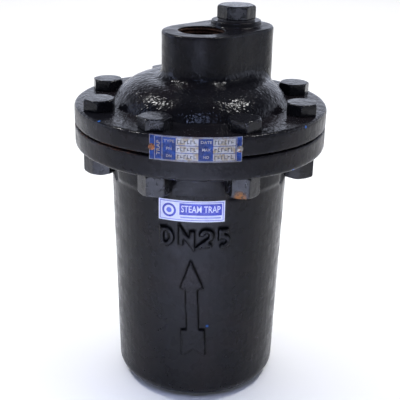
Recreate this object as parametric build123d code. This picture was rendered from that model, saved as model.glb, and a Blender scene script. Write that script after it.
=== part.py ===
from build123d import *
import os
from itertools import cycle
from math import asin, atan2, cos, degrees, radians, sin, sqrt, tan

# Vertical inverted-bucket steam trap, nominal size 25 mm, in millimetres.
# Z = 0 is the machined inlet face on the vessel's axis, +Z points to the outlet, -Y is the front.

# ---- vessel body -------------------------------------------------------------------------------
inlet_face_stand = 3.0      # the inlet face stands proud of the cast bottom
body_height = 189.5         # inlet face to the body's joint face
body_radius = 60.4          # under the collar; the wall tapers down from there
body_draft = 1.45           # degrees
body_wall = 8.0
body_floor = 10.0
body_corner = 8.5           # outside corner at the bottom
body_inner_corner = 9.0
inlet_face_radius = 28.0
inlet_boss_radius = 24.0    # inside the vessel
inlet_boss_height = 14.0    # above the floor
collar_step = 1.2           # thicker neck under the flange
collar_height = 21.0        # flange underside to the foot of the collar
collar_slope = 3.0          # height of the sloping foot
collar_fillet = 2.0

# ---- flanges and their bolts -------------------------------------------------------------------
flange_margin = 14.0        # bolt circle to the flange's edge
body_flange = 14.5
cap_flange = 12.7
body_flange_edge = 2.5
cap_flange_edge = 2.0
joint_edge = 0.6
bolt_count = 8
bolt_circle_step = 9.4      # collar to the bolt circle
bolt_radius = 6.0           # M12
bolt_hole_gap = 0.75
bolt_end_length = 1.8       # bolt end below the nut
bolt_head_flats = 19.0
bolt_head_height = 7.5
nut_height = 14.0
spot_face_margin = 1.0      # beyond the hexagon's corners
cap_spot_face_height = 6.0
bolt_turns = (-22, 23, 10, 8, -25, -17, -31, 0.5)   # each head ends at its own wrench angle
nut_turns = (-8, 30, 14, -19, 5, 24, 9, 3)

# ---- joint gasket ------------------------------------------------------------------------------
gasket_thickness = 1.0
gasket_bore_gap = 0.8       # bore to the gasket's inner edge
gasket_bolt_gap = 1.25      # gasket's outer edge to the bolt holes

# ---- cap ---------------------------------------------------------------------------------------
dome_crown_radius = 28.0    # arc of the dome's shoulder; its crown is flat
dome_foot_inset = 11.33     # bolt circle to the dome's foot
dome_crown_drop = 11.2      # the arc's centre, below the flange's top
cap_wall = 8.0
dome_base_fillet = 2.0
boss_height = 47.4          # flange top to the boss's machined top
boss_wall = 11.5            # round the outlet's thread
boss_test_margin = 8.4      # round the test port's pad
boss_edge = 1.2
boss_foot_fillet = 6.0
test_port_land = 0.45       # outlet's thread to the test port's pad
test_port_angle = 135.0     # from the front towards the right
test_pad_margin = 6.72      # round the test port's thread
test_pad_height = 3.7
test_pad_edge = 0.8
seat_pad_half_y = 23.0
seat_pad_margin = 11.0      # pad beyond the seat's centre, towards the axis
seat_pad_above_joint = 6.5
seat_thread_depth = 12.0
passage_radius = 6.0
passage_wall = 5.0

# ---- pipe ports --------------------------------------------------------------------------------
pipe_thread_radius = 15.15  # G 1 internal thread, minor radius
outlet_depth = 22.0
inlet_depth = 19.0
test_thread_radius = 10.48  # G 1/2
test_bore_depth = 17.0
test_passage_radius = 6.0

# ---- test plug ---------------------------------------------------------------------------------
plug_flats_margin = 2.04    # head across flats, over the thread's diameter
plug_head_height = 9.2
plug_shank_length = 14.0
plug_gasket_thickness = 0.8
plug_gasket_width = 2.0

# ---- nameplate and label -----------------------------------------------------------------------
plate_thickness = 0.6
plate_half_angle = 19.0
plate_angle = -1.6
plate_below_joint = 1.5
plate_height = 15.5
plate_corner = 1.0
plate_screw_inset = 1.3     # degrees in from each end
plate_screw_rise = 7.8      # above the plate's lower edge
plate_screw_radius = 1.1
plate_screw_head_radius = 2.1
plate_screw_head = 1.0
plate_screw_length = 6.0
label_thickness = 0.2
label_width = 43.5
label_height = 14.4
label_angle = -4.2
label_below_collar = 7.8    # collar's foot to the label's middle
label_corner = 1.0

# ---- cast marks --------------------------------------------------------------------------------
mark_relief = 2.0
mark_pen = 2.8
mark_height = 13.3
mark_below_collar = 26.6
mark_angle = -1.7
mark_gap = 3.0
arrow_angle = -4.0
arrow_lean = 2.0            # degrees, the tip leans to the left
arrow_below_collar = 42.8   # collar's foot to the arrow's tip
arrow_above_corner = 26.8   # bottom corner to the arrow's tail
arrow_end_share = 0.283     # head and tail are each this share of its length
arrow_head_width = 15.4
arrow_shaft_width = 7.8
arrow_tail_width = 16.0
arrow_notch = 5.5

# ---- valve, lever and bucket -------------------------------------------------------------------
running_gap = 0.05          # radial, pins and shanks in their holes
seat_flats = 19.0
seat_flange = 5.0
seat_nose_height = 3.0
seat_nose_radius = 5.0
seat_thread_radius = 7.0
seat_thread_length = 11.0
seat_bore_radius = 4.0
seat_gasket_thickness = 1.0
orifice_radius = 2.4
valve_radius = 5.0
valve_gap = 0.3             # left between ball and seat at the closed limit
valve_stem_radius = 2.5
valve_retainer_flats = 8.0
valve_retainer_height = 4.0
valve_lift = 2.5            # what the ball drops when the valve is wide open
valve_shoulder = 5.8        # lever's top to the centre of the ball
lever_arm = 42.0            # pivot to bucket hook, which hangs on the axis when closed
valve_arm = 14.0            # pivot to valve
lever_width = 12.0
lever_thickness = 3.0
lever_eye_radius = 4.5
pivot_radius = 2.5
hook_radius = 2.0
side_gap = 0.5              # lever to each ear
pin_head = 1.2
pin_head_margin = 1.2
pin_head_gap = 0.3
bracket_thickness = 2.0
bracket_ear_half = 4.2
bracket_half_y = 21.0
bracket_hole_gap = 0.6
bracket_screw_y = 16.5
bracket_screw_radius = 2.5  # M5
bracket_screw_flats = 8.0
bracket_screw_head = 3.5
bracket_screw_length = 12.0
clip_thickness = 1.5
clip_half_x = 14.0
clip_ear_half = 4.5
clip_rise = 12.5            # bucket's top to the hook pin
rivet_radius = 2.0
rivet_head_radius = 3.5
rivet_head_height = 1.3
rivet_x = 10.0
bucket_side_gap = 6.17      # bucket to the vessel's wall at the floor
bucket_floor_gap = 13.0
bucket_wall = 1.2
bucket_corner = 6.0
vent_radius = 1.5
vent_x = 25.0

# ---- inlet tube --------------------------------------------------------------------------------
tube_radius = 10.65
tube_wall = 2.0
tube_top_gap = 55.0         # bucket's top to the tube's mouth
tube_collar_flats = 27.0
tube_collar_height = 6.0

# ---- sizes and places worked out from the values above -----------------------------------------
floor_z = inlet_face_stand + body_floor
flange_low = body_height - body_flange
collar_foot = flange_low - collar_height
collar_radius = body_radius + collar_step
bolt_circle_radius = collar_radius + bolt_circle_step
bolt_hole_radius = bolt_radius + bolt_hole_gap
spot_face_radius = bolt_head_flats / sqrt(3) + spot_face_margin
flange_radius = bolt_circle_radius + flange_margin
cap_low = body_height + gasket_thickness
cap_flange_top = cap_low + cap_flange
bolt_length = cap_flange_top - flange_low + nut_height + bolt_end_length
gasket_outer_radius = bolt_circle_radius - bolt_hole_radius - gasket_bolt_gap
test_pad_radius = test_thread_radius + test_pad_margin
test_port_offset = pipe_thread_radius + test_port_land + test_pad_radius
boss_radius = pipe_thread_radius + boss_wall
boss_test_radius = test_pad_radius + boss_test_margin
boss_top = cap_flange_top + boss_height
test_pad_top = boss_top + test_pad_height
plug_flats = 2 * test_thread_radius + plug_flats_margin
dome_centre_z = cap_flange_top - dome_crown_drop
dome_foot_run = sqrt(dome_crown_radius**2 - dome_crown_drop**2)
dome_crown_offset = bolt_circle_radius - dome_foot_inset - dome_foot_run
plate_low = body_height - plate_below_joint
plate_screw_z = plate_low + plate_screw_rise
label_middle_z = collar_foot - label_below_collar
mark_middle_z = collar_foot - mark_below_collar
arrow_tip_z = collar_foot - arrow_below_collar
arrow_length = arrow_tip_z - inlet_face_stand - body_corner - arrow_above_corner
arrow_end_length = arrow_end_share * arrow_length
seat_pad_low = cap_low + seat_pad_above_joint
outlet_floor = boss_top - outlet_depth
inlet_boss_top = floor_z + inlet_boss_height
seat_face = seat_pad_low - seat_gasket_thickness - seat_flange - seat_nose_height
ball_closed_z = seat_face - sqrt(valve_radius**2 - orifice_radius**2) - valve_gap
pivot_x = -lever_arm
pivot_z = ball_closed_z - valve_shoulder - lever_thickness / 2
seat_x = pivot_x + valve_arm
open_angle = degrees(asin(valve_lift / valve_arm))
hook_x = pivot_x + lever_arm * cos(radians(open_angle))
hook_z = pivot_z - lever_arm * sin(radians(open_angle))
bucket_top = hook_z - clip_rise
bucket_low = floor_z + bucket_floor_gap
tube_top = bucket_top - tube_top_gap
ear_y = lever_width / 2 + side_gap
pin_y_pivot = ear_y + bracket_thickness + pin_head_gap
pin_y_hook = ear_y + clip_thickness + pin_head_gap


def polar(radius, angle):
    """Place on a circle, the angle in degrees from the front towards the right."""
    return radius * sin(radians(angle)), -radius * cos(radians(angle))


def post(radius, low, high, x=0, y=0):
    """Upright round bar between two heights."""
    return Pos(x, y, (low + high) / 2) * Cylinder(radius, high - low)


def ring(outer, inner, low, high, x=0, y=0):
    """Upright tube between two heights."""
    return post(outer, low, high, x, y) - post(inner, low, high, x, y)


def block(low, high):
    """Box between two corners."""
    size = [b - a for a, b in zip(low, high)]
    middle = [(a + b) / 2 for a, b in zip(low, high)]
    return Pos(*middle) * Box(*size)


def hexagon(flats, low, high, x=0, y=0, turn=0):
    """Hexagonal bar with a flat to the front before it is turned."""
    outline = RegularPolygon(flats / 2, 6, major_radius=False)
    return Pos(x, y, low) * Rot(0, 0, turn) * extrude(outline, high - low)


def crowned_hexagon(flats, low, high, x, y, turn, top=True, bottom=False):
    """Hexagonal bar whose corners are turned down to a chamfer at the named ends."""
    corner = flats / sqrt(3)
    crown = post(corner, low, high, x, y)
    edges = crown.edges().filter_by(GeomType.CIRCLE).sort_by(Axis.Z)
    picked = edges[-1:] if top else []
    picked = picked + edges[:1] if bottom else picked
    crown = chamfer(picked, (corner - flats / 2) / 2, corner - flats / 2)
    return hexagon(flats, low, high, x, y, turn) & crown


def cross_bar(radius, half_length, x, z):
    """Round bar along Y, centred on the vessel's middle plane."""
    return Pos(x, 0, z) * Rot(90, 0, 0) * Cylinder(radius, 2 * half_length)


def headed_pin(radius, head_start, x, z):
    """Pin along Y with a flat head at each end."""
    pin = cross_bar(radius, head_start + pin_head, x, z)
    heads = cross_bar(radius + pin_head_margin, head_start + pin_head, x, z)
    return pin + (heads - cross_bar(radius + 2 * pin_head_margin, head_start, x, z))


def body_skin(z):
    """Outside radius of the tapered wall at a height."""
    return body_radius - (collar_foot - z) * tan(radians(body_draft))


bore_radius = body_skin(body_height) - body_wall
gasket_inner_radius = bore_radius + gasket_bore_gap
bucket_radius = body_skin(floor_z) - body_wall - bucket_side_gap


def bolt_angles():
    """The bolts' angles from the front, half a pitch either side of it."""
    pitch = 360 / bolt_count
    return [pitch * (i + 0.5) for i in range(bolt_count)]


def bolt_places():
    """The bolts' centres round the flange."""
    return [polar(bolt_circle_radius, angle) for angle in bolt_angles()]


# ---- body --------------------------------------------------------------------------------------
def body_shell():
    """Outside of the vessel, turned about its axis."""
    bottom_radius = body_skin(inlet_face_stand)
    points = [
        (0, inlet_face_stand),
        (bottom_radius, inlet_face_stand),
        (body_radius, collar_foot),
        (collar_radius, collar_foot + collar_slope),
        (collar_radius, flange_low),
        (flange_radius, flange_low),
        (flange_radius, body_height),
        (0, body_height),
    ]
    radii = [0, body_corner, collar_slope / 2, collar_slope / 2, collar_fillet]
    radii += [body_flange_edge, joint_edge, 0]
    outline = FilletPolyline(*points, radius=radii, close=True)
    return revolve(Plane.XZ * make_face(outline), Axis.Z)


def body_hollow():
    """Inside of the vessel, one wall in from the taper."""
    low_radius = body_skin(floor_z) - body_wall
    points = [(0, floor_z), (low_radius, floor_z), (bore_radius, body_height), (0, body_height)]
    outline = FilletPolyline(*points, radius=[0, body_inner_corner, 0, 0], close=True)
    return revolve(Plane.XZ * make_face(outline), Axis.Z)


def tapered_skin(low, high, thickness):
    """Thin shell that lies on the vessel's tapered wall."""
    height = high - low
    outer = Cone(body_skin(low) + thickness, body_skin(high) + thickness, height)
    inner = Cone(body_skin(low), body_skin(high), height)
    return Pos(0, 0, (low + high) / 2) * (outer - inner)


def raised(outline, angle):
    """Outline drawn in the front plane, standing proud of the tapered wall at an angle."""
    punch = extrude(Plane.XZ * outline, body_radius * 1.2)
    bounds = punch.bounding_box()
    core = Cone(
        body_skin(bounds.min.Z - 1) + mark_relief,
        body_skin(bounds.max.Z + 1) + mark_relief,
        bounds.size.Z + 2,
    )
    core = Pos(0, 0, bounds.center().Z) * core
    hollow = post(body_radius - body_wall / 2 - mark_relief, bounds.min.Z - 2, bounds.max.Z + 2)
    return Rot(0, 0, angle) * (punch & core - hollow)


def flow_arrow():
    """Arrow with a notched tail that points to the outlet."""
    head_low = -arrow_end_length
    tail_high = -arrow_length + arrow_end_length
    half = [
        (0, 0),
        (arrow_head_width / 2, head_low),
        (arrow_shaft_width / 2, head_low),
        (arrow_shaft_width / 2, tail_high),
        (arrow_tail_width / 2, tail_high),
        (arrow_tail_width / 2, -arrow_length),
        (0, -arrow_length + arrow_notch),
    ]
    mirrored = [(-x, z) for x, z in reversed(half[1:-1])]
    outline = make_face(Polyline(*half, *mirrored, close=True))
    return raised(Pos(0, arrow_tip_z) * Rot(0, 0, arrow_lean) * outline, arrow_angle)


def letter_d(width, height):
    """Pen strokes of a D."""
    top = Line((0, height), (width / 2, height))
    bow = ThreePointArc((width / 2, height), (width, height / 2), (width / 2, 0))
    return [Line((0, 0), (0, height)), top, bow, Line((width / 2, 0), (0, 0))]


def letter_n(width, height):
    """Pen strokes of an N."""
    return [Polyline((0, 0), (0, height), (width, 0), (width, height))]


def digit_2(width, height):
    """Pen strokes of a 2."""
    shoulder = height * 0.7
    bow = ThreePointArc((0, shoulder), (width * 0.6, height), (width * 0.95, height * 0.55))
    return [bow, Polyline((width * 0.95, height * 0.55), (0, 0), (width, 0))]


def digit_5(width, height):
    """Pen strokes of a 5."""
    waist = height * 0.55
    bow = ThreePointArc((0, waist), (width, height * 0.3), (0, 0))
    return [Polyline((width, height), (0, height), (0, waist)), bow]


def size_mark():
    """Raised nominal size, each character square to the wall where it stands."""
    stroke_height = mark_height - mark_pen
    characters = [(letter_d, 7.0), (letter_n, 7.5), (digit_2, 6.5), (digit_5, 5.5)]
    total = sum(width + mark_pen for _, width in characters) + mark_gap * (len(characters) - 1)
    place = -total / 2
    marks = []
    for strokes, width in characters:
        middle = place + (width + mark_pen) / 2
        drawn = trace(strokes(width, stroke_height), line_width=mark_pen)
        placed = Pos(-width / 2, mark_middle_z - stroke_height / 2) * drawn
        angle = mark_angle + degrees(middle / body_skin(mark_middle_z))
        marks.append(raised(placed, angle))
        place += width + mark_pen + mark_gap
    return marks


def make_body():
    """Cast iron vessel with its flange, spot faces, inlet port and cast marks."""
    part = body_shell() - body_hollow()
    part += post(inlet_face_radius, 0, floor_z)
    part += post(inlet_boss_radius, floor_z - 1, inlet_boss_top)
    part -= post(pipe_thread_radius, 0, inlet_depth)
    part -= post(tube_radius + running_gap, 0, inlet_boss_top)
    for x, y in bolt_places():
        part -= post(bolt_hole_radius, flange_low - 1, body_height, x, y)
        part -= post(spot_face_radius, collar_foot - 1, flange_low, x, y)
    part += flow_arrow()
    for mark in size_mark():
        part += mark
    return part


# ---- cap ---------------------------------------------------------------------------------------
def dome(inset, low):
    """Domed solid above a height: an arc whose crown is an annulus round a flat centre."""
    radius = dome_crown_radius - inset
    foot_rise = low - dome_centre_z
    foot_run = sqrt(radius**2 - foot_rise**2)
    foot = (dome_crown_offset + foot_run, low)
    crown = (dome_crown_offset, dome_centre_z + radius)
    lean = (atan2(foot_rise, foot_run) + radians(90)) / 2
    middle = (dome_crown_offset + radius * cos(lean), dome_centre_z + radius * sin(lean))
    arc = ThreePointArc(foot, middle, crown)
    rest = Polyline(crown, (0, crown[1]), (0, low), foot)
    return revolve(Plane.XZ * make_face([arc, rest]), Axis.Z)


def boss():
    """Tall boss round the outlet, stretched to take in the test port."""
    port = polar(test_port_offset, test_port_angle)
    circles = Circle(boss_radius) + Pos(*port) * Circle(boss_test_radius)
    outline = make_hull(circles.edges())
    part = Pos(0, 0, cap_flange_top) * extrude(outline, boss_height)
    return fillet(part.faces().sort_by(Axis.Z)[-1].edges(), boss_edge)


def with_boss(part):
    """The cap's outside with its boss, filleted where the boss stands on the dome."""
    tower = boss()
    joined = part + tower
    foot = new_edges(part, tower, combined=joined)
    return fillet(foot, boss_foot_fillet)


def seat_passage(radius):
    """Round bar from the top of the seat's thread up to the outlet's floor."""
    start = Vector(seat_x, 0, seat_pad_low + seat_thread_depth - passage_radius / 2)
    end = Vector(-passage_radius / 2, 0, outlet_floor)
    along = (end - start).normalized()
    bar = Cylinder(radius, (end - start).length, align=(Align.CENTER, Align.CENTER, Align.MIN))
    return Plane(origin=start, z_dir=along) * bar


def cap_hollow():
    """Inside of the cap, which leaves the seat's pad and the cored passage standing."""
    hollow = dome(cap_wall, cap_low)
    hollow = hollow & post(bore_radius, cap_low, boss_top)
    standing = block(
        (-flange_radius, -seat_pad_half_y, seat_pad_low),
        (seat_x + seat_pad_margin, seat_pad_half_y, boss_top),
    )
    standing += seat_passage(passage_radius + passage_wall)
    standing -= post(flange_radius, cap_low - passage_wall, seat_pad_low)
    return hollow - standing


def make_cap():
    """Cast iron cap with its flange, dome, boss, outlet and test port."""
    port = polar(test_port_offset, test_port_angle)
    flange = post(flange_radius, cap_low, cap_flange_top)
    part = flange + dome(0, cap_flange_top)
    base = part.edges().filter_by(GeomType.CIRCLE).filter_by_position(
        Axis.Z, cap_flange_top - 0.1, cap_flange_top + 0.1
    )
    part = fillet(base.sort_by(SortBy.RADIUS)[0], dome_base_fillet)
    rim = part.edges().filter_by(GeomType.CIRCLE).sort_by(SortBy.RADIUS)[-2:].sort_by(Axis.Z)
    part = chamfer(rim[0], joint_edge)
    rim = part.edges().filter_by(GeomType.CIRCLE).filter_by_position(
        Axis.Z, cap_flange_top - 0.1, cap_flange_top + 0.1
    )
    part = fillet(rim.sort_by(SortBy.RADIUS)[-1], cap_flange_edge)
    part = with_boss(part)
    pad = post(test_pad_radius, boss_top - 1, test_pad_top, *port)
    part += fillet(pad.edges().filter_by(GeomType.CIRCLE).sort_by(Axis.Z)[-1], test_pad_edge)
    part -= cap_hollow()
    part -= post(pipe_thread_radius, outlet_floor, boss_top)
    part -= post(test_thread_radius + running_gap, test_pad_top - test_bore_depth, test_pad_top, *port)
    part -= post(test_passage_radius, cap_low, test_pad_top, *port)
    part -= post(seat_thread_radius + running_gap, seat_pad_low, seat_pad_low + seat_thread_depth, seat_x)
    part -= seat_passage(passage_radius)
    for side in (-1, 1):
        hole_top = seat_pad_low + bracket_screw_length
        hole_radius = bracket_screw_radius + running_gap
        part -= post(hole_radius, seat_pad_low, hole_top, seat_x, side * bracket_screw_y)
    for x, y in bolt_places():
        part -= post(bolt_hole_radius, cap_low, cap_flange_top, x, y)
        part -= post(spot_face_radius, cap_flange_top, cap_flange_top + cap_spot_face_height, x, y)
    for angle in plate_screw_angles():
        part -= radial_bar(plate_screw_radius + running_gap, plate_screw_length, 0, angle)
    return part


# ---- fasteners and seals -----------------------------------------------------------------------
def make_cover_gasket():
    """Flat ring between the flanges."""
    return ring(gasket_outer_radius, gasket_inner_radius, body_height, cap_low)


def make_flange_bolts():
    """Hexagon bolts dropped through the flanges from above."""
    bolts = []
    for (x, y), turn in zip(bolt_places(), cycle(bolt_turns)):
        top = cap_flange_top + bolt_head_height
        head = crowned_hexagon(bolt_head_flats, cap_flange_top, top, x, y, turn)
        shank = post(bolt_radius, cap_flange_top - bolt_length, cap_flange_top, x, y)
        tip = shank.edges().filter_by(GeomType.CIRCLE).sort_by(Axis.Z)[0]
        bolts.append(head + chamfer(tip, bolt_radius / 6))
    return bolts


def make_flange_nuts():
    """Hexagon nuts under the body's flange."""
    nuts = []
    for (x, y), turn in zip(bolt_places(), cycle(nut_turns)):
        low = flange_low - nut_height
        nut = crowned_hexagon(bolt_head_flats, low, flange_low, x, y, turn, True, True)
        nuts.append(nut - post(bolt_radius + running_gap, low, flange_low, x, y))
    return nuts


def make_test_plug():
    """Hexagon plug in the test port."""
    x, y = polar(test_port_offset, test_port_angle)
    seat = test_pad_top + plug_gasket_thickness
    head = crowned_hexagon(plug_flats, seat, seat + plug_head_height, x, y, 0)
    return head + post(test_thread_radius, seat - plug_shank_length, seat, x, y)


def make_test_plug_gasket():
    """Thin ring under the test plug's head."""
    x, y = polar(test_port_offset, test_port_angle)
    inner = test_thread_radius + running_gap
    outer = inner + plug_gasket_width
    return ring(outer, inner, test_pad_top, test_pad_top + plug_gasket_thickness, x, y)


# ---- nameplate and label -----------------------------------------------------------------------
def plate_screw_angles():
    """Angles of the two drive screws from the front."""
    reach = plate_half_angle - plate_screw_inset
    return [plate_angle - reach, plate_angle + reach]


def radial_bar(radius, depth, rise, angle):
    """Round bar square to the flange's rim, from a depth inside it to a rise outside it."""
    bar = Cylinder(radius, depth + rise, align=(Align.CENTER, Align.CENTER, Align.MIN))
    placed = Pos(0, -(flange_radius - depth), plate_screw_z) * Rot(90, 0, 0) * bar
    return Rot(0, 0, angle) * placed


def wrapped_card(width, height, corner, middle_z, reach):
    """Rounded rectangle in the front plane, pushed out as a punch for a wrapped sheet."""
    outline = RectangleRounded(width, height, corner)
    return extrude(Plane.XZ * Pos(0, middle_z) * outline, reach)


def make_nameplate():
    """Curved sheet plate on the flanges' rims."""
    high = plate_low + plate_height
    sheet = ring(flange_radius + plate_thickness, flange_radius, plate_low, high)
    width = 2 * flange_radius * sin(radians(plate_half_angle))
    middle = (plate_low + high) / 2
    punch = wrapped_card(width, plate_height, plate_corner, middle, flange_radius * 1.2)
    plate = Rot(0, 0, plate_angle) * (sheet & punch)
    for angle in plate_screw_angles():
        plate -= radial_bar(plate_screw_radius + running_gap, 1, plate_thickness + 1, angle)
    return plate


def make_nameplate_screws():
    """Round-headed drive screws at the nameplate's ends."""
    screws = []
    for angle in plate_screw_angles():
        shank = radial_bar(plate_screw_radius, plate_screw_length - 0.5, plate_thickness, angle)
        rise = plate_thickness + plate_screw_head
        head = radial_bar(plate_screw_head_radius, 0, rise, angle)
        head -= radial_bar(2 * plate_screw_head_radius, 0, plate_thickness, angle)
        screws.append(shank + head)
    return screws


def make_body_label():
    """Thin printed label on the front of the vessel."""
    low = label_middle_z - label_height / 2
    sheet = tapered_skin(low, low + label_height, label_thickness)
    half_turn = label_width / 2 / body_skin(label_middle_z)
    width = 2 * body_skin(label_middle_z) * sin(half_turn)
    punch = wrapped_card(width, label_height, label_corner, label_middle_z, body_radius * 1.2)
    return Rot(0, 0, label_angle) * (sheet & punch)


# ---- valve and its bracket ---------------------------------------------------------------------
def make_valve_seat():
    """Seat screwed up into the cap, with the orifice in its nose."""
    flange_z = seat_face + seat_nose_height
    top = flange_z + seat_flange
    part = hexagon(seat_flats, flange_z, top, seat_x, 0, 90)
    part += post(seat_nose_radius, seat_face, flange_z, seat_x)
    part += post(seat_thread_radius, top, seat_pad_low + seat_thread_length, seat_x)
    part -= post(orifice_radius, seat_face, top, seat_x)
    part -= post(seat_bore_radius, flange_z, seat_pad_low + seat_thread_length, seat_x)
    return part


def make_seat_gasket():
    """Thin ring between the seat and the cap."""
    inner = seat_thread_radius + running_gap
    low = seat_pad_low - seat_gasket_thickness
    return ring(seat_flats / 2, inner, low, seat_pad_low, seat_x)


def eared(half_x, x, z, y_low, thickness, top):
    """Ear on each side with a round end at a pin's centre, reaching up or down to a height."""
    ears = []
    for side in (-1, 1):
        middle_y = side * (y_low + thickness / 2)
        eye = Pos(x, middle_y, z) * Rot(90, 0, 0) * Cylinder(half_x, thickness)
        low, high = sorted((z, top))
        arm = block(
            (x - half_x, middle_y - thickness / 2, low),
            (x + half_x, middle_y + thickness / 2, high),
        )
        ears.append(eye + arm)
    return ears


def make_lever_bracket():
    """Plate under the seat pad with two ears that carry the lever."""
    low = seat_pad_low - bracket_thickness
    part = block(
        (pivot_x - bracket_ear_half, -bracket_half_y, low),
        (seat_x + seat_pad_margin, bracket_half_y, seat_pad_low),
    )
    for ear in eared(bracket_ear_half, pivot_x, pivot_z, ear_y, bracket_thickness, low + 1):
        part += ear
    part -= cross_bar(pivot_radius + running_gap, 2 * ear_y, pivot_x, pivot_z)
    clear = seat_flats / sqrt(3) + bracket_hole_gap
    part -= post(clear, low, seat_pad_low, seat_x)
    for side in (-1, 1):
        hole = bracket_screw_radius + running_gap
        part -= post(hole, low, seat_pad_low, seat_x, side * bracket_screw_y)
    return part


def make_bracket_screws():
    """Two hexagon screws that hold the bracket to the cap."""
    screws = []
    for side in (-1, 1):
        y = side * bracket_screw_y
        under = seat_pad_low - bracket_thickness
        head = hexagon(bracket_screw_flats, under - bracket_screw_head, under, seat_x, y)
        tip = under + bracket_screw_length
        screws.append(head + post(bracket_screw_radius, under, tip, seat_x, y))
    return screws


def make_lever_pivot_pin():
    """Pin through the bracket's ears."""
    return headed_pin(pivot_radius, pin_y_pivot, pivot_x, pivot_z)


# ---- lever and valve, drawn closed and then dropped to the open position -----------------------
def drooped(part):
    """The same piece with the lever hanging at its open angle."""
    return part.rotate(Axis((pivot_x, 0, pivot_z), (0, 1, 0)), open_angle)


def make_lever():
    """Flat lever with an eye at the pivot and one at the hook."""
    end_x = pivot_x + lever_arm
    half_y = lever_width / 2
    half_z = lever_thickness / 2
    part = block((pivot_x, -half_y, pivot_z - half_z), (end_x, half_y, pivot_z + half_z))
    part += cross_bar(lever_eye_radius, half_y, pivot_x, pivot_z)
    part += cross_bar(lever_eye_radius, half_y, end_x, pivot_z)
    part -= cross_bar(pivot_radius + running_gap, lever_width, pivot_x, pivot_z)
    part -= cross_bar(hook_radius + running_gap, lever_width, end_x, pivot_z)
    hole = valve_stem_radius + running_gap
    part -= post(hole, pivot_z - lever_thickness, pivot_z + lever_thickness, seat_x)
    return drooped(part)


def make_valve_plug():
    """Ball-nosed valve on a stem through the lever."""
    lever_top = pivot_z + lever_thickness / 2
    ball_z = lever_top + valve_shoulder
    lever_low = pivot_z - lever_thickness / 2
    part = post(valve_radius, lever_top, ball_z, seat_x)
    part += Pos(seat_x, 0, ball_z) * Sphere(valve_radius)
    part += post(valve_stem_radius, lever_low - valve_retainer_height, lever_top, seat_x)
    return drooped(part)


def make_valve_retainer():
    """Nut that clamps the valve to the lever."""
    high = pivot_z - lever_thickness / 2
    low = high - valve_retainer_height
    part = hexagon(valve_retainer_flats, low, high, seat_x)
    return drooped(part - post(valve_stem_radius + running_gap, low, high, seat_x))


def make_bucket_hook_pin():
    """Pin in the lever's end that carries the bucket."""
    return headed_pin(hook_radius, pin_y_hook, hook_x, hook_z)


# ---- bucket ------------------------------------------------------------------------------------
def make_bucket():
    """Thin inverted bucket with a vent hole in its top."""
    inner = bucket_radius - bucket_wall
    shell = post(bucket_radius, bucket_low, bucket_top)
    shell = fillet(shell.edges().sort_by(Axis.Z)[-1], bucket_corner)
    hollow = post(inner, bucket_low, bucket_top - bucket_wall)
    hollow = fillet(hollow.edges().sort_by(Axis.Z)[-1], bucket_corner - bucket_wall)
    part = shell - hollow - post(vent_radius, bucket_low, bucket_top, vent_x)
    for side in (-1, 1):
        part -= post(rivet_radius + running_gap, bucket_top - bucket_corner, bucket_top, side * rivet_x)
    return Pos(hook_x, 0, 0) * part


def make_bucket_clip():
    """Yoke on the bucket's top with an ear on each side of the lever."""
    half_y = ear_y + clip_thickness
    part = block(
        (-clip_half_x, -half_y, bucket_top),
        (clip_half_x, half_y, bucket_top + clip_thickness),
    )
    for ear in eared(clip_ear_half, 0, hook_z, ear_y, clip_thickness, bucket_top):
        part += ear
    part -= cross_bar(hook_radius + running_gap, 2 * half_y, 0, hook_z)
    for side in (-1, 1):
        hole = rivet_radius + running_gap
        part -= post(hole, bucket_top, bucket_top + clip_thickness, side * rivet_x)
    return Pos(hook_x, 0, 0) * part


def make_clip_rivets():
    """Two rivets through the yoke and the bucket's top."""
    rivets = []
    for side in (-1, 1):
        x = hook_x + side * rivet_x
        low = bucket_top - bucket_wall
        high = bucket_top + clip_thickness
        rivet = post(rivet_radius, low, high, x)
        rivet += post(rivet_head_radius, high, high + rivet_head_height, x)
        rivet += post(rivet_head_radius, low - rivet_head_height, low, x)
        rivets.append(rivet)
    return rivets


# ---- inlet tube --------------------------------------------------------------------------------
def make_inlet_tube():
    """Tube screwed into the inlet boss, with a hexagon collar to turn it by."""
    part = post(tube_radius, inlet_depth, tube_top)
    part += hexagon(tube_collar_flats, inlet_boss_top, inlet_boss_top + tube_collar_height)
    return part - post(tube_radius - tube_wall, inlet_depth, tube_top)


makers = {
    "body": make_body,
    "cap": make_cap,
    "cover_gasket": make_cover_gasket,
    "flange_bolts": make_flange_bolts,
    "flange_nuts": make_flange_nuts,
    "test_plug": make_test_plug,
    "test_plug_gasket": make_test_plug_gasket,
    "nameplate": make_nameplate,
    "nameplate_screws": make_nameplate_screws,
    "body_label": make_body_label,
    "inlet_tube": make_inlet_tube,
    "valve_seat": make_valve_seat,
    "seat_gasket": make_seat_gasket,
    "lever_bracket": make_lever_bracket,
    "bracket_screws": make_bracket_screws,
    "lever_pivot_pin": make_lever_pivot_pin,
    "lever": make_lever,
    "valve_plug": make_valve_plug,
    "valve_retainer": make_valve_retainer,
    "bucket_hook_pin": make_bucket_hook_pin,
    "bucket": make_bucket,
    "bucket_clip": make_bucket_clip,
    "clip_rivets": make_clip_rivets,
}

os.makedirs("parts", exist_ok=True)
for node, make in makers.items():
    made = make()
    solids = made if isinstance(made, list) else [made]
    pieces = [solid for piece in solids for solid in piece.solids()]
    export_step(Compound(children=pieces), os.path.join("parts", node + ".step"))

print("lever travel", round(open_angle, 3), "degrees")
print("pivot", pivot_x, round(pivot_z, 3), "hook", round(hook_x, 3), round(hook_z, 3))
print("height", round(test_pad_top + plug_gasket_thickness + plug_head_height, 2))
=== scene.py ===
import logging
import math
from dataclasses import dataclass, field
from enum import Enum
from typing import Callable

import bpy
from mathutils import Matrix, Vector


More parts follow.
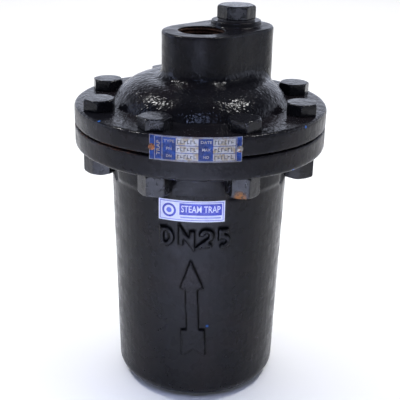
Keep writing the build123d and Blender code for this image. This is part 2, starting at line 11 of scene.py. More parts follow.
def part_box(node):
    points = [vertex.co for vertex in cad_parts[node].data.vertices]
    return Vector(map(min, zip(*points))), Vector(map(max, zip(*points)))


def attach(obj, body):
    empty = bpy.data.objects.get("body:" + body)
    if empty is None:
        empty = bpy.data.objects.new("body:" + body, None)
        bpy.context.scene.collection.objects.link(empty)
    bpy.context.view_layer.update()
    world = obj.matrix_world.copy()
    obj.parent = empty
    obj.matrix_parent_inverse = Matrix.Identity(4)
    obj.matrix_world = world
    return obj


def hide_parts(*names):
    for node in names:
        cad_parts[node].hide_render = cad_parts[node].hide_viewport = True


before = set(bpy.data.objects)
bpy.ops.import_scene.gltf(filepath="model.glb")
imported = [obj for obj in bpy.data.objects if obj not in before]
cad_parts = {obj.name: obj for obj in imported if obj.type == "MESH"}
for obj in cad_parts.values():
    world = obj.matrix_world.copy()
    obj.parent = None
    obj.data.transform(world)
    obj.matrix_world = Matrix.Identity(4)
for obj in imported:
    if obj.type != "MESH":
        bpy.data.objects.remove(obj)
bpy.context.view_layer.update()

# Vertical inverted-bucket steam trap: the looks of every piece, in metres, round the fixed CAD frame.
# +Z runs from the inlet to the outlet, -Y is the front, where the nameplate and the label sit.

MM = 0.001
log = logging.getLogger("steam_trap")

Piece = bpy.types.Object
Socket = bpy.types.NodeSocket


# ---- small helpers for meshes --------------------------------------------------------------
def turn_on(piece: Piece) -> None:
    """Make one piece the only selected and active one.

    Args:
        piece: the object that the next operators act on.
    """
    bpy.ops.object.select_all(action="DESELECT")
    piece.select_set(True)
    bpy.context.view_layer.objects.active = piece


def named(piece: Piece, name: str) -> Piece:
    """Name an object and its mesh.

    Args:
        piece: the object to name.
        name: its new name.

    Returns:
        The same object.
    """
    piece.name = name
    piece.data.name = name
    return piece


def new_primitive(kind: str, name: str, **settings: object) -> Piece:
    """Add a primitive mesh with nothing else selected.

    Args:
        kind: the primitive's operator name without its prefix and suffix, such as cylinder.
        name: the new object's name.
        settings: the operator's own settings.

    Returns:
        The new object, with its place already in its mesh.
    """
    bpy.ops.object.select_all(action="DESELECT")
    getattr(bpy.ops.mesh, f"primitive_{kind}_add")(**settings)
    piece = named(bpy.context.object, name)
    bpy.ops.object.transform_apply(location=True, rotation=True, scale=True)
    return piece


def apply_modifier(piece: Piece, kind: str, **settings: object) -> None:
    """Add a modifier and apply it at once.

    Args:
        piece: the object to shape.
        kind: the modifier's type, such as BEVEL.
        settings: the modifier's settings.
    """
    turn_on(piece)
    modifier = piece.modifiers.new(kind.lower(), kind)
    for key, value in settings.items():
        setattr(modifier, key, value)
    bpy.ops.object.modifier_apply(modifier=modifier.name)


def pick_faces(piece: Piece, rule: Callable[[Vector, Vector], bool]) -> None:
    """Enter edit mode with only the faces selected that meet a rule.

    Args:
        piece: the object to edit.
        rule: says from a face's centre and normal whether it is picked.
    """
    turn_on(piece)
    bpy.ops.object.mode_set(mode="EDIT")
    bpy.ops.mesh.select_mode(type="FACE")
    bpy.ops.mesh.select_all(action="DESELECT")
    bpy.ops.object.mode_set(mode="OBJECT")
    for face in piece.data.polygons:
        face.select = rule(face.center, face.normal)
    bpy.ops.object.mode_set(mode="EDIT")


def pick_edges(piece: Piece, rule: Callable[[Vector, Vector], bool]) -> None:
    """Enter edit mode with only the edges selected whose two ends meet a rule.

    Args:
        piece: the object to edit.
        rule: says from the edge's two ends whether it is picked.
    """
    turn_on(piece)
    bpy.ops.object.mode_set(mode="EDIT")
    bpy.ops.mesh.select_mode(type="EDGE")
    bpy.ops.mesh.select_all(action="DESELECT")
    bpy.ops.object.mode_set(mode="OBJECT")
    points = piece.data.vertices
    for edge in piece.data.edges:
        start, end = edge.vertices
        edge.select = rule(points[start].co, points[end].co)
    bpy.ops.object.mode_set(mode="EDIT")


def leave_edit() -> None:
    """Go back to object mode."""
    bpy.ops.object.mode_set(mode="OBJECT")


def face_outwards(piece: Piece, doubles: float = 1e-6) -> None:
    """Merge doubled points and turn every face outwards.

    Args:
        piece: a closed mesh.
        doubles: points closer than this are merged, in metres.
    """
    turn_on(piece)
    bpy.ops.object.mode_set(mode="EDIT")
    bpy.ops.mesh.select_all(action="SELECT")
    bpy.ops.mesh.remove_doubles(threshold=doubles)
    bpy.ops.mesh.normals_make_consistent(inside=False)
    leave_edit()


def smooth(piece: Piece, angle: float = 30.0) -> None:
    """Shade a piece smooth, with sharp edges over an angle.

    Args:
        piece: the object to shade.
        angle: the sharpest smooth edge, in degrees.
    """
    turn_on(piece)
    bpy.ops.object.shade_smooth_by_angle(angle=math.radians(angle))


def cad_copy(node: str, name: str) -> Piece:
    """Copy a CAD node into a new object, with its loose triangles merged.

    Args:
        node: the CAD node's name.
        name: the new object's name.

    Returns:
        The copy, which has no material.
    """
    piece = bpy.data.objects.new(name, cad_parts[node].data.copy())
    piece.data.name = name
    bpy.context.scene.collection.objects.link(piece)
    piece.data.materials.clear()
    turn_on(piece)
    bpy.ops.object.mode_set(mode="EDIT")
    bpy.ops.mesh.select_all(action="SELECT")
    bpy.ops.mesh.remove_doubles(threshold=0.002 * MM)
    leave_edit()
    return piece


def joined(name: str, pieces: list[Piece]) -> Piece:
    """Join several objects into one.

    Args:
        name: the joined object's name.
        pieces: the objects, the first of which takes in the rest.

    Returns:
        The joined object.
    """
    turn_on(pieces[0])
    for piece in pieces:
        piece.select_set(True)
    bpy.ops.object.join()
    return named(pieces[0], name)


def placed_copy(source: Piece, name: str, place: Matrix) -> Piece:
    """Copy a piece with its own mesh, moved within that mesh.

    Args:
        source: the piece that was modelled once.
        name: the copy's name.
        place: where the copy goes.

    Returns:
        The copy.
    """
    piece = bpy.data.objects.new(name, source.data.copy())
    piece.data.name = name
    piece.data.transform(place)
    bpy.context.scene.collection.objects.link(piece)
    return piece


def cut(piece: Piece, cutter: Piece, operation: str = "DIFFERENCE") -> None:
    """Cut one closed mesh with another and delete the cutter.

    Args:
        piece: the mesh that stays.
        cutter: the mesh that is used up.
        operation: the boolean's kind.
    """
    apply_modifier(piece, "BOOLEAN", object=cutter, operation=operation, solver="MANIFOLD")
    bpy.data.objects.remove(cutter)


def dress(piece: Piece, finish: bpy.types.Material) -> None:
    """Give a whole piece one finish.

    Args:
        piece: the object, which loses any finish that it had.
        finish: its new material.
    """
    piece.data.materials.clear()
    piece.data.materials.append(finish)


def stand_for(piece: Piece, node: str) -> None:
    """Let a finished piece ride on the vessel and show in place of a CAD node.

    Args:
        piece: the finished piece.
        node: the CAD node that it stands for.
    """
    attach(piece, "root")
    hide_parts(node)


@dataclass
class ScrewThread:
    """A helical ridge that cuts a thread, like a tap in a bore or a die on a bar.

    Its section is a triangle, as on the sharp form of a pipe or metric thread.
    """

    pitch: float
    crest_radius: float
    section: float
    low: float
    turns: int
    inwards: bool = False
    steps: int = 48

    def cutter(self, name: str) -> Piece:
        """Build the ridge as a closed mesh round the Z axis.

        Args:
            name: the new object's name.

        Returns:
            The closed helical ridge.
        """
        side = -1 if self.inwards else 1
        middle = self.crest_radius - side * self.section
        ridge = new_primitive(
            "circle",
            name,
            vertices=3,
            radius=self.section,
            fill_type="NOTHING",
            location=(middle, 0, self.low),
            rotation=(math.pi / 2, side * math.pi / 2, 0),
        )
        apply_modifier(
            ridge,
            "SCREW",
            axis="Z",
            angle=2 * math.pi,
            screw_offset=self.pitch,
            iterations=self.turns,
            steps=self.steps,
            render_steps=self.steps,
        )
        turn_on(ridge)
        bpy.ops.object.mode_set(mode="EDIT")
        bpy.ops.mesh.select_mode(type="EDGE")
        bpy.ops.mesh.select_all(action="DESELECT")
        bpy.ops.mesh.select_non_manifold()
        bpy.ops.mesh.fill()
        leave_edit()
        face_outwards(ridge)
        return ridge


@dataclass
class ThreadedShank:
    """A round bar that hangs down from zero, threaded over its lower end."""

    radius: float
    length: float
    pitch: float
    thread_depth: float
    turns: int
    sides: int
    chamfer: float = 0.0
    root: float = 1.0 * MM
    thread_fill: float = 0.8

    def build(self) -> Piece:
        """Model the bar, its chamfered end and its thread.

        Returns:
            The closed bar, whose root reaches up into the head above it.
        """
        shank = new_primitive(
            "cylinder", "shank", vertices=self.sides, radius=self.radius, depth=self.length + self.root,
            location=(0, 0, (self.root - self.length) / 2),
        )
        if self.chamfer:
            pick_edges(shank, lambda a, b: abs(a.z + self.length) + abs(b.z + self.length) < 0.1 * MM)
            bpy.ops.mesh.bevel(offset=self.chamfer, offset_type="OFFSET", segments=2)
            leave_edit()
        die = ScrewThread(
            self.pitch, self.radius - self.thread_depth, self.thread_depth * self.thread_fill,
            -self.length - self.pitch, self.turns, inwards=True,
        )
        cut(shank, die.cutter("die"))
        return shank


# ---- small helpers for materials -----------------------------------------------------------
def linear(code: str) -> tuple[float, float, float, float]:
    """Turn an sRGB hex colour into the linear one that a shader takes.

    Args:
        code: a colour such as #1c1c1f.

    Returns:
        Linear red, green and blue with full alpha.
    """
    parts = [int(code[i:i + 2], 16) / 255 for i in (1, 3, 5)]
    straight = [p / 12.92 if p <= 0.04045 else ((p + 0.055) / 1.055) ** 2.4 for p in parts]
    return straight[0], straight[1], straight[2], 1.0


def add(tree: bpy.types.NodeTree, kind: str, sockets: dict | None = None,
        **settings: object) -> bpy.types.Node:
    """Add a shader node with its settings, its socket values and its links.

    Args:
        tree: the material's node tree.
        kind: the node's type without the ShaderNode prefix.
        sockets: values or output sockets, by the input's name or number.
        settings: the node's own properties.

    Returns:
        The new node.
    """
    node = tree.nodes.new("ShaderNode" + kind)
    for key, value in settings.items():
        setattr(node, key, value)
    for key, value in (sockets or {}).items():
        if isinstance(value, Socket):
            tree.links.new(value, node.inputs[key])
        else:
            node.inputs[key].default_value = value
    return node


class Blend(Enum):
    """How one scalar joins another in a mask."""

    TIMES = "MULTIPLY"
    LARGEST = "MAXIMUM"
    PLUS = "ADD"
    MINUS = "SUBTRACT"


@dataclass
class Sheet:
    """One material being drawn: its tree and the coordinates that its patterns read."""

    name: str
    tree: bpy.types.NodeTree = field(init=False)
    material: bpy.types.Material = field(init=False)
    shader: bpy.types.Node = field(init=False)
    place: Socket = field(init=False)

    def __post_init__(self) -> None:
        """Make the material with its shader and its Object coordinates."""
        self.material = bpy.data.materials.new(self.name)
        self.material.use_nodes = True
        self.tree = self.material.node_tree
        self.shader = next(n for n in self.tree.nodes if n.type == "BSDF_PRINCIPLED")
        self.place = add(self.tree, "TexCoord").outputs["Object"]

    def noise(self, size: float, detail: float = 2.0, rough: float = 0.5,
              place: Socket | None = None) -> Socket:
        """Cloudy pattern whose spots have a real size.

        Args:
            size: the spots' spacing in metres.
            detail: how many finer layers it has.
            rough: how strong those layers are.
            place: coordinates other than the plain ones.

        Returns:
            The pattern, about 0.3 to 0.7.
        """
        sockets = {"Vector": place or self.place, "Scale": 1 / size, "Detail": detail, "Roughness": rough}
        return add(self.tree, "TexNoise", sockets).outputs["Fac"]

    def cells(self, size: float, place: Socket | None = None) -> Socket:
        """Distance to scattered points, which gives pimples and flecks.

        Args:
            size: the points' spacing in metres.
            place: coordinates other than the plain ones.

        Returns:
            The distance, 0 at each point.
        """
        sockets = {"Vector": place or self.place, "Scale": 1 / size}
        return add(self.tree, "TexVoronoi", sockets, feature="F1").outputs["Distance"]

    def ramp(self, value: Socket, low: float, high: float,
             to_low: float = 0.0, to_high: float = 1.0) -> Socket:
        """Map a value smoothly between two limits.

        Args:
            value: what is mapped.
            low: where the result is to_low.
            high: where the result is to_high.
            to_low: the result at the low limit.
            to_high: the result at the high limit.

        Returns:
            The mapped value.
        """
        sockets = {"Value": value, "From Min": low, "From Max": high, "To Min": to_low, "To Max": to_high}
        return add(self.tree, "MapRange", sockets, interpolation_type="SMOOTHSTEP").outputs["Result"]

    def join(self, how: Blend, first: Socket | float, second: Socket | float) -> Socket:
        """Join two scalars.

        Args:
            how: the way they are joined.
            first: a value or a socket.
            second: a value or a socket.

        Returns:
            The joined value.
        """
        return add(self.tree, "Math", {0: first, 1: second}, operation=how.value).outputs[0]

    def mix(self, share: Socket, first: Socket | tuple, second: Socket | tuple) -> Socket:
        """Mix two colours by a mask.

        Args:
            share: how much of the second colour shows.
            first: a colour or a socket.
            second: a colour or a socket.

        Returns:
            The mixed colour.
        """
        sockets = {0: share, 6: first, 7: second}
        return add(self.tree, "Mix", sockets, data_type="RGBA").outputs[2]

    def mix_value(self, share: Socket, first: Socket | float, second: Socket | float) -> Socket:
        """Mix two scalars by a mask.

        Args:
            share: how much of the second value shows.
            first: a value or a socket.
            second: a value or a socket.

        Returns:
            The mixed value.
        """
        return add(self.tree, "Mix", {0: share, 2: first, 3: second}, data_type="FLOAT").outputs[0]

    def bump(self, height: Socket, depth: float, under: Socket | None = None) -> Socket:
        """Raise the surface by a pattern.

        Args:
            height: the pattern.
            depth: how far a full step of the pattern rises, in metres.
            under: the normal of a bump below this one.

        Returns:
            The bumped normal.
        """
        sockets = {"Height": height, "Distance": depth, "Strength": 1.0}
        if under:
            sockets["Normal"] = under
        return add(self.tree, "Bump", sockets).outputs["Normal"]

    def axis_distance(self, x: float = 0.0, y: float = 0.0) -> Socket:
        """Distance from an upright line.

        Args:
            x: the line's place.
            y: the line's place.

        Returns:
            The distance in metres.
        """
        shifted = add(self.tree, "VectorMath", {0: self.place, 1: (-x, -y, 0)}, operation="ADD").outputs[0]
        flat = add(self.tree, "VectorMath", {0: shifted, 1: (1, 1, 0)}, operation="MULTIPLY").outputs[0]
        return add(self.tree, "VectorMath", {0: flat}, operation="LENGTH").outputs["Value"]

    def along(self, axis: int) -> Socket:
        """Distance along one axis of the frame.

        Args:
            axis: 0 to the right, 1 to the back, 2 up.

        Returns:
            The distance in metres.
        """
        return add(self.tree, "SeparateXYZ", {0: self.place}).outputs[axis]

    def spot(self, centre: tuple[float, float, float], radius: float) -> Socket:
        """Soft round stain.

        Args:
            centre: where it is.
            radius: where it ends.

        Returns:
            The mask, 1 in the middle.
        """
        away = add(self.tree, "VectorMath", {0: self.place, 1: centre}, operation="DISTANCE").outputs["Value"]
        return self.ramp(away, 0.3 * radius, radius, 1.0, 0.0)

    def facing_up(self) -> Socket:
        """How much the true surface faces up, from -1 to 1."""
        normal = add(self.tree, "NewGeometry").outputs["True Normal"]
        return add(self.tree, "SeparateXYZ", {0: normal}).outputs[2]

    def edges(self) -> Socket:
        """How sharp the surface is outwards, about 0.5 where it is flat."""
        return add(self.tree, "NewGeometry").outputs["Pointiness"]

    def finish(self, **values: Socket | float | tuple) -> bpy.types.Material:
        """Set the shader's inputs, given with underscores for spaces.

        Args:
            values: a value or a socket for each named input.

        Returns:
            The finished material.
        """
        for key, value in values.items():
            socket = self.shader.inputs[key.replace("_", " ")]
            if isinstance(value, Socket):
                self.tree.links.new(value, socket)
            else:
                socket.default_value = value
        return self.material


# ---- finishes ------------------------------------------------------------------------------
@dataclass(frozen=True)
class CastIronEnamel:
    """Black gloss enamel brushed thickly over sand-cast grey iron.

    The paint fills the sand grain but keeps its lumps, so highlights break into wet specks on the
    dome and the flange, and stay broader on the turned rims and on the vessel's wall.
    """

    black: str = "#0f0f13"
    brown_black: str = "#141114"
    dust: str = "#4c4e55"
    worn: str = "#3c3d42"
    # painted shade: the near-black colour laid on the raised marks' sloping sides
    shade: str = "#040405"
    rust_dark: str = "#201612"
    rust_light: str = "#4a3024"
    blue_fleck: str = "#235aa6"
    fleck_radius: float = 1.3 * MM
    fleck_places: tuple[tuple[float, float, float], ...] = (
        (7.5 * MM, -57.5 * MM, 61.4 * MM),
        (-62.5 * MM, -54.8 * MM, 203.2 * MM),
        (65.9 * MM, -53.6 * MM, 201.8 * MM),
        (58.7 * MM, -60.4 * MM, 175.7 * MM),
    )
    specular: float = 0.15
    flank_specular: float = 0.02
    lump: float = 5.5 * MM
    grain: float = 2.1 * MM
    fine_grain: float = 0.9 * MM
    bore_radius: float = 16.7 * MM
    boss_top: float = 250.6 * MM
    joint_height: float = 190.0 * MM
    joint_reach: float = 1.4 * MM
    seam_left_of: float = -34.0 * MM
    dome_low: float = 202.6 * MM
    dome_high: float = 222.0 * MM
    wall_radius: float = 60.4 * MM
    wall_top: float = 154.0 * MM
    wall_slope: float = 0.0253
    marks_low: float = 36.0 * MM
    marks_high: float = 136.0 * MM
    flank_low: float = 0.3 * MM
    flank_high: float = 1.6 * MM

    def material(self) -> bpy.types.Material:
        """Draw the enamel, its dust and wear, the rust where no paint went, and painted shade on the sides of
        the raised marks.

        Returns:
            The finished material.
        """
        s = Sheet("black_enamel_on_cast_iron")
        height = s.along(2)
        above = s.ramp(height, self.dome_low - 1 * MM, self.dome_low)
        below = s.ramp(height, self.dome_high, self.dome_high + 8 * MM, 1.0, 0.0)
        coarse = s.join(Blend.TIMES, above, below)
        patches = s.noise(24 * MM, 3.0)
        paint = s.mix(s.ramp(patches, 0.45, 0.7), linear(self.black), linear(self.brown_black))
        dusty = self.dust_mask(s, patches)
        paint = s.mix(dusty, paint, linear(self.dust))
        rubbed = s.ramp(s.edges(), 0.56, 0.66)
        rubbed = s.join(Blend.TIMES, rubbed, s.ramp(s.noise(3 * MM, 3.0, 0.6), 0.45, 0.62, 0.1, 0.7))
        paint = s.mix(rubbed, paint, linear(self.worn))
        flecks = self.fleck_mask(s)
        paint = s.mix(flecks, paint, linear(self.blue_fleck))
        # painted shade: the raised marks' sloping sides are coloured near black, with low gloss, to stand in
        # for the shade along them
        shaded_flanks, faces = self.mark_masks(s, height)
        paint = s.mix(shaded_flanks, paint, linear(self.shade))

        rusty = self.rust_mask(s, height)
        bloom = s.ramp(s.noise(1.8 * MM, 4.0, 0.65), 0.40, 0.66)
        rust = s.mix(bloom, linear(self.rust_dark), linear(self.rust_light))
        colour = s.mix(rusty, paint, rust)

        sheen = s.ramp(s.noise(9 * MM, 3.0), 0.35, 0.65, 0.22, 0.36)
        rough = s.mix_value(coarse, sheen, s.join(Blend.MINUS, sheen, 0.12))
        rough = s.mix_value(s.join(Blend.LARGEST, dusty, rubbed), rough, 0.55)
        rough = s.mix_value(s.join(Blend.LARGEST, rusty, shaded_flanks), rough, 0.72)
        normal = self.skin(s, s.join(Blend.LARGEST, coarse, faces))
        gloss = s.mix_value(shaded_flanks, self.specular, self.flank_specular)
        return s.finish(Base_Color=colour, Roughness=rough, Normal=normal, IOR=1.5, Specular_IOR_Level=gloss)

    def mark_masks(self, s: Sheet, height: Socket) -> tuple[Socket, Socket]:
        """Find the raised marks on the tapered wall.

        Args:
            s: the sheet that is drawn on.
            height: the height above the inlet face.

        Returns:
            The masks of the marks' sloping sides, which get painted shade and dull paint, and of their faces.
        """
        drop = s.join(Blend.TIMES, s.join(Blend.MINUS, self.wall_top, height), self.wall_slope)
        wall = s.join(Blend.MINUS, self.wall_radius, drop)
        proud = s.join(Blend.MINUS, s.axis_distance(), wall)
        band = s.join(
            Blend.TIMES,
            s.ramp(height, self.marks_low, self.marks_low + 1 * MM),
            s.ramp(height, self.marks_high, self.marks_high + 1 * MM, 1.0, 0.0),
        )
        risen = s.join(Blend.TIMES, band, s.ramp(proud, self.flank_low, self.flank_low + 0.3 * MM))
        faces = s.join(Blend.TIMES, band, s.ramp(proud, self.flank_high - 0.3 * MM, self.flank_high))
        return s.join(Blend.MINUS, risen, faces), faces

    def fleck_mask(self, s: Sheet) -> Socket:
        """Find the few small flecks of blue paint on the flange and the wall.

        Args:
            s: the sheet that is drawn on.

        Returns:
            The mask.
        """
        mask = 0.0
        for centre in self.fleck_places:
            mask = s.join(Blend.LARGEST, mask, s.spot(centre, self.fleck_radius))
        return mask

    def skin(self, s: Sheet, coarse: Socket) -> Socket:
        """Raise the paint's lumps, the sand grain under it and its fine ripple.

        Args:
            s: the sheet that is drawn on.
            coarse: where the sand grain is coarse.

        Returns:
            The bumped normal.
        """
        lumps = s.noise(self.lump, 2.0, 0.45)
        grain = s.noise(self.grain, 1.0, 0.4)
        pimples = s.ramp(s.cells(self.grain * 1.1), 0.0, 0.55, 1.0, 0.0)
        coarse_skin = s.join(Blend.PLUS, grain, s.join(Blend.TIMES, pimples, 0.35))
        skin = s.mix_value(coarse, s.join(Blend.TIMES, grain, 0.22), coarse_skin)
        lump_skin = s.mix_value(coarse, s.join(Blend.TIMES, lumps, 0.45), lumps)
        normal = s.bump(lump_skin, 0.42 * MM)
        normal = s.bump(skin, 0.36 * MM, normal)
        return s.bump(s.noise(self.fine_grain, 1.0), 0.03 * MM, normal)

    def dust_mask(self, s: Sheet, patches: Socket) -> Socket:
        """Find where dust lies: in specks on faces that look up.

        Args:
            s: the sheet that is drawn on.
            patches: broad clouds that thin the dust out.

        Returns:
            The mask.
        """
        specks = s.ramp(s.noise(1.6 * MM, 3.0, 0.7), 0.60, 0.70)
        dusty = s.join(Blend.TIMES, specks, s.ramp(s.facing_up(), 0.6, 0.95))
        return s.join(Blend.TIMES, dusty, s.ramp(patches, 0.42, 0.62, 0.05, 0.5))

    def rust_mask(self, s: Sheet, height: Socket) -> Socket:
        """Find the bare iron: the pipe ports' bores and a stretch of the joint's seam.

        Args:
            s: the sheet that is drawn on.
            height: the height above the inlet face.

        Returns:
            The mask.
        """
        bore = s.ramp(s.axis_distance(), self.bore_radius, self.bore_radius + 0.5 * MM, 1.0, 0.0)
        inside = s.ramp(height, self.boss_top - 0.9 * MM, self.boss_top - 0.4 * MM, 1.0, 0.0)
        bore = s.join(Blend.TIMES, bore, inside)
        near = {0: height, 1: self.joint_height, 2: self.joint_reach}
        seam = add(s.tree, "Math", near, operation="COMPARE").outputs[0]
        left = s.ramp(s.along(0), self.seam_left_of - 4 * MM, self.seam_left_of, 1.0, 0.0)
        seam = s.join(Blend.TIMES, seam, left)
        seam = s.join(Blend.TIMES, seam, s.ramp(s.noise(7 * MM, 3.0, 0.6), 0.44, 0.56))
        return s.join(Blend.LARGEST, bore, seam)


@dataclass(frozen=True)
class BoltEnamel:
    """Black gloss enamel brushed over hot-forged bolts and nuts.

    It is thinner than on the castings: the hexagons stay crisp, with rubbed corners, and one nut at
    the front has an orange rust stain under it.
    """

    black: str = "#0e0e12"
    worn: str = "#4a4c54"
    rust_light: str = "#8a5a2c"
    specular: float = 0.3
    stain: tuple[float, float, float] = (25.5 * MM, -75.5 * MM, 162.0 * MM)
    stain_radius: float = 5.0 * MM

    def material(self) -> bpy.types.Material:
        """Draw the enamel, its rubbed corners and the stain.

        Returns:
            The finished material.
        """
        s = Sheet("black_enamel_on_forged_steel")
        normal = s.bump(s.noise(4.2 * MM, 2.0), 0.34 * MM)
        normal = s.bump(s.noise(1.6 * MM, 2.0), 0.09 * MM, normal)
        rubbed = s.ramp(s.edges(), 0.57, 0.68)
        rubbed = s.join(Blend.TIMES, rubbed, s.ramp(s.noise(2 * MM, 3.0), 0.42, 0.6, 0.15, 0.8))
        colour = s.mix(rubbed, linear(self.black), linear(self.worn))
        rust = s.spot(self.stain, self.stain_radius)
        rust = s.join(Blend.TIMES, rust, s.ramp(s.noise(2.2 * MM, 4.0, 0.7), 0.36, 0.54))
        colour = s.mix(rust, colour, linear(self.rust_light))
        rough = s.ramp(s.noise(5 * MM, 3.0), 0.35, 0.65, 0.16, 0.30)
        rough = s.mix_value(rubbed, rough, 0.42)
        rough = s.mix_value(rust, rough, 0.8)
        return s.finish(
            Base_Color=colour, Roughness=rough, Normal=normal, IOR=1.5, Specular_IOR_Level=self.specular
        )


@dataclass(frozen=True)
class GraphiteSheet:
    """Compressed graphite sheet, punched into rings: dark, dull, with fine pressed flakes."""

    dark: str = "#1b1a1b"
    light: str = "#3b3938"
    flake: float = 1.2 * MM

    def material(self) -> bpy.types.Material:
        """Draw the flakes.

        Returns:
            The finished material.
        """
        s = Sheet("compressed_graphite_sheet")
        flakes = s.noise(self.flake, 4.0, 0.6)
        colour = s.mix(s.ramp(flakes, 0.4, 0.65), linear(self.dark), linear(self.light))
        rough = s.ramp(flakes, 0.3, 0.7, 0.45, 0.65)
        return s.finish(Base_Color=colour, Roughness=rough, Normal=s.bump(flakes, 0.04 * MM), IOR=1.6)


@dataclass(frozen=True)
class Stainless:
    """Satin stainless steel, drawn and turned: grey metal with fine lines round the axis."""

    name: str = "satin_stainless_steel"
    light: str = "#c9c7c2"
    dark: str = "#a3a19c"
    line: float = 0.35 * MM

    def material(self) -> bpy.types.Material:
        """Draw the fine level lines and the water stains.

        Returns:
            The finished material.
        """
        s = Sheet(self.name)
        squeezed = add(s.tree, "Mapping", {"Vector": s.place, "Scale": (0.06, 0.06, 1.0)}).outputs[0]
        lines = s.noise(self.line, 3.0, 0.6, squeezed)
        stains = s.noise(12 * MM, 3.0)
        colour = s.mix(s.ramp(stains, 0.4, 0.7), linear(self.light), linear(self.dark))
        rough = s.ramp(lines, 0.3, 0.7, 0.24, 0.42)
        return s.finish(
            Base_Color=colour, Metallic=1.0, Roughness=rough, Normal=s.bump(lines, 0.012 * MM)
        )


@dataclass(frozen=True)
class PlateAluminium:
    """Bare aluminium that stands proud on an etched nameplate: soft silver with tan tarnish."""

    silver: str = "#8f9094"
    tan: str = "#7b6e58"

    def material(self) -> bpy.types.Material:
        """Draw the tarnish and the fine scratches.

        Returns:
            The finished material.
        """
        s = Sheet("etched_bare_aluminium")
        tarnish = s.ramp(s.noise(3.2 * MM, 4.0, 0.65), 0.42, 0.64)
        colour = s.mix(tarnish, linear(self.silver), linear(self.tan))
        scratch = s.noise(0.5 * MM, 3.0)
        rough = s.ramp(scratch, 0.3, 0.7, 0.28, 0.5)
        return s.finish(Base_Color=colour, Metallic=0.35, Roughness=rough, Normal=s.bump(scratch, 0.02 * MM))


@dataclass(frozen=True)
class PlateEnamel:
    """Blue enamel filled into the etched ground of the nameplate: deep, glossy, a little uneven."""

    deep: str = "#0a2258"
    bright: str = "#143a80"

    def material(self) -> bpy.types.Material:
        """Draw the uneven fill.

        Returns:
            The finished material.
        """
        s = Sheet("etched_blue_fill")
        uneven = s.noise(4 * MM, 3.0)
        colour = s.mix(s.ramp(uneven, 0.38, 0.66), linear(self.deep), linear(self.bright))
        rough = s.ramp(s.noise(1.5 * MM), 0.35, 0.65, 0.22, 0.38)
        normal = s.bump(uneven, 0.03 * MM)
        return s.finish(Base_Color=colour, Roughness=rough, Normal=normal, Specular_IOR_Level=0.2)


@dataclass(frozen=True)
class StampedMark:
    """Marks punched into the plate by hand, darkened by paint left in them."""

    dark: str = "#1d2029"
    light: str = "#3b3e46"

    def material(self) -> bpy.types.Material:
        """Draw the patchy dark fill.

        Returns:
            The finished material.
        """
        s = Sheet("punched_dark_fill")
        patchy = s.noise(0.8 * MM, 3.0)
        colour = s.mix(s.ramp(patchy, 0.4, 0.6), linear(self.dark), linear(self.light))
        rough = s.ramp(patchy, 0.3, 0.7, 0.45, 0.7)
        return s.finish(Base_Color=colour, Roughness=rough, Normal=s.bump(patchy, 0.02 * MM))


@dataclass(frozen=True)
class PrintedVinyl:
    """Gloss vinyl film with a printed colour: even, bright, with slight waves of the film."""

    name: str
    colour: str
    faded: str

    def material(self) -> bpy.types.Material:
        """Draw the print and the film's gentle waves.

        Returns:
            The finished material.
        """
        s = Sheet(self.name)
        uneven = s.noise(6 * MM, 3.0)
        colour = s.mix(s.ramp(uneven, 0.35, 0.68), linear(self.colour), linear(self.faded))
        rough = s.ramp(s.noise(2.5 * MM), 0.35, 0.65, 0.22, 0.34)
        return s.finish(Base_Color=colour, Roughness=rough, Normal=s.bump(uneven, 0.05 * MM), IOR=1.46)


@dataclass(frozen=True)
class RustedSteel:
    """Plain steel drive screw that has rusted in the weather: brown scale with some bare metal."""

    name: str
    scale_colour: str = "#4b2f22"
    orange: str = "#93572c"
    bare: str = "#8d8b88"
    bare_share: float = 0.25

    def material(self) -> bpy.types.Material:
        """Draw the scale, the orange bloom and the bare spots.

        Returns:
            The finished material.
        """
        s = Sheet(self.name)
        bloom = s.ramp(s.noise(1.1 * MM, 4.0, 0.7), 0.45, 0.6)
        rust = s.mix(bloom, linear(self.scale_colour), linear(self.orange))
        bare_from = 0.68 - 0.3 * self.bare_share
        spots = s.ramp(s.noise(1.7 * MM, 3.0), bare_from, bare_from + 0.06)
        colour = s.mix(spots, rust, linear(self.bare))
        rough = s.mix_value(spots, 0.8, 0.35)
        pits = s.bump(s.noise(0.5 * MM, 3.0), 0.06 * MM)
        return s.finish(Base_Color=colour, Metallic=spots, Roughness=rough, Normal=pits)


# ---- castings ------------------------------------------------------------------------------
@dataclass
class Casting:
    """An iron casting: the CAD shape with the soft edges and lumps of a sand mould."""

    node: str
    finish: bpy.types.Material
    voxel: float = 0.75 * MM
    lump: float = 11.0 * MM
    lump_height: float = 0.22 * MM
    triangles: int = 188_000
    softening: int = 1
    ports: list[ScrewThread] = field(default_factory=list)

    def build(self) -> Piece:
        """Model the casting, cut its threads and dress it.

        Returns:
            The finished casting, which stands for the CAD node.
        """
        piece = cad_copy(self.node, f"{self.node}_casting")
        apply_modifier(piece, "REMESH", mode="VOXEL", voxel_size=self.voxel)
        apply_modifier(piece, "SMOOTH", factor=0.5, iterations=self.softening)
        self.roughen(piece)
        count = 2 * len(piece.data.polygons)
        apply_modifier(piece, "DECIMATE", ratio=min(1.0, self.triangles / count))
        for number, port in enumerate(self.ports):
            cut(piece, port.cutter(f"{self.node}_tap_{number}"))
        smooth(piece, 38)
        dress(piece, self.finish)
        stand_for(piece, self.node)
        log.info("%s: %d faces", piece.name, len(piece.data.polygons))
        return piece

    def roughen(self, piece: Piece) -> None:
        """Raise shallow lumps all over the skin.

        Args:
            piece: the remeshed casting.
        """
        clouds = bpy.data.textures.new(f"{self.node}_lumps", "CLOUDS")
        clouds.noise_scale = self.lump
        clouds.noise_depth = 1
        apply_modifier(
            piece, "DISPLACE", texture=clouds, texture_coords="LOCAL", strength=self.lump_height,
            mid_level=0.5,
        )


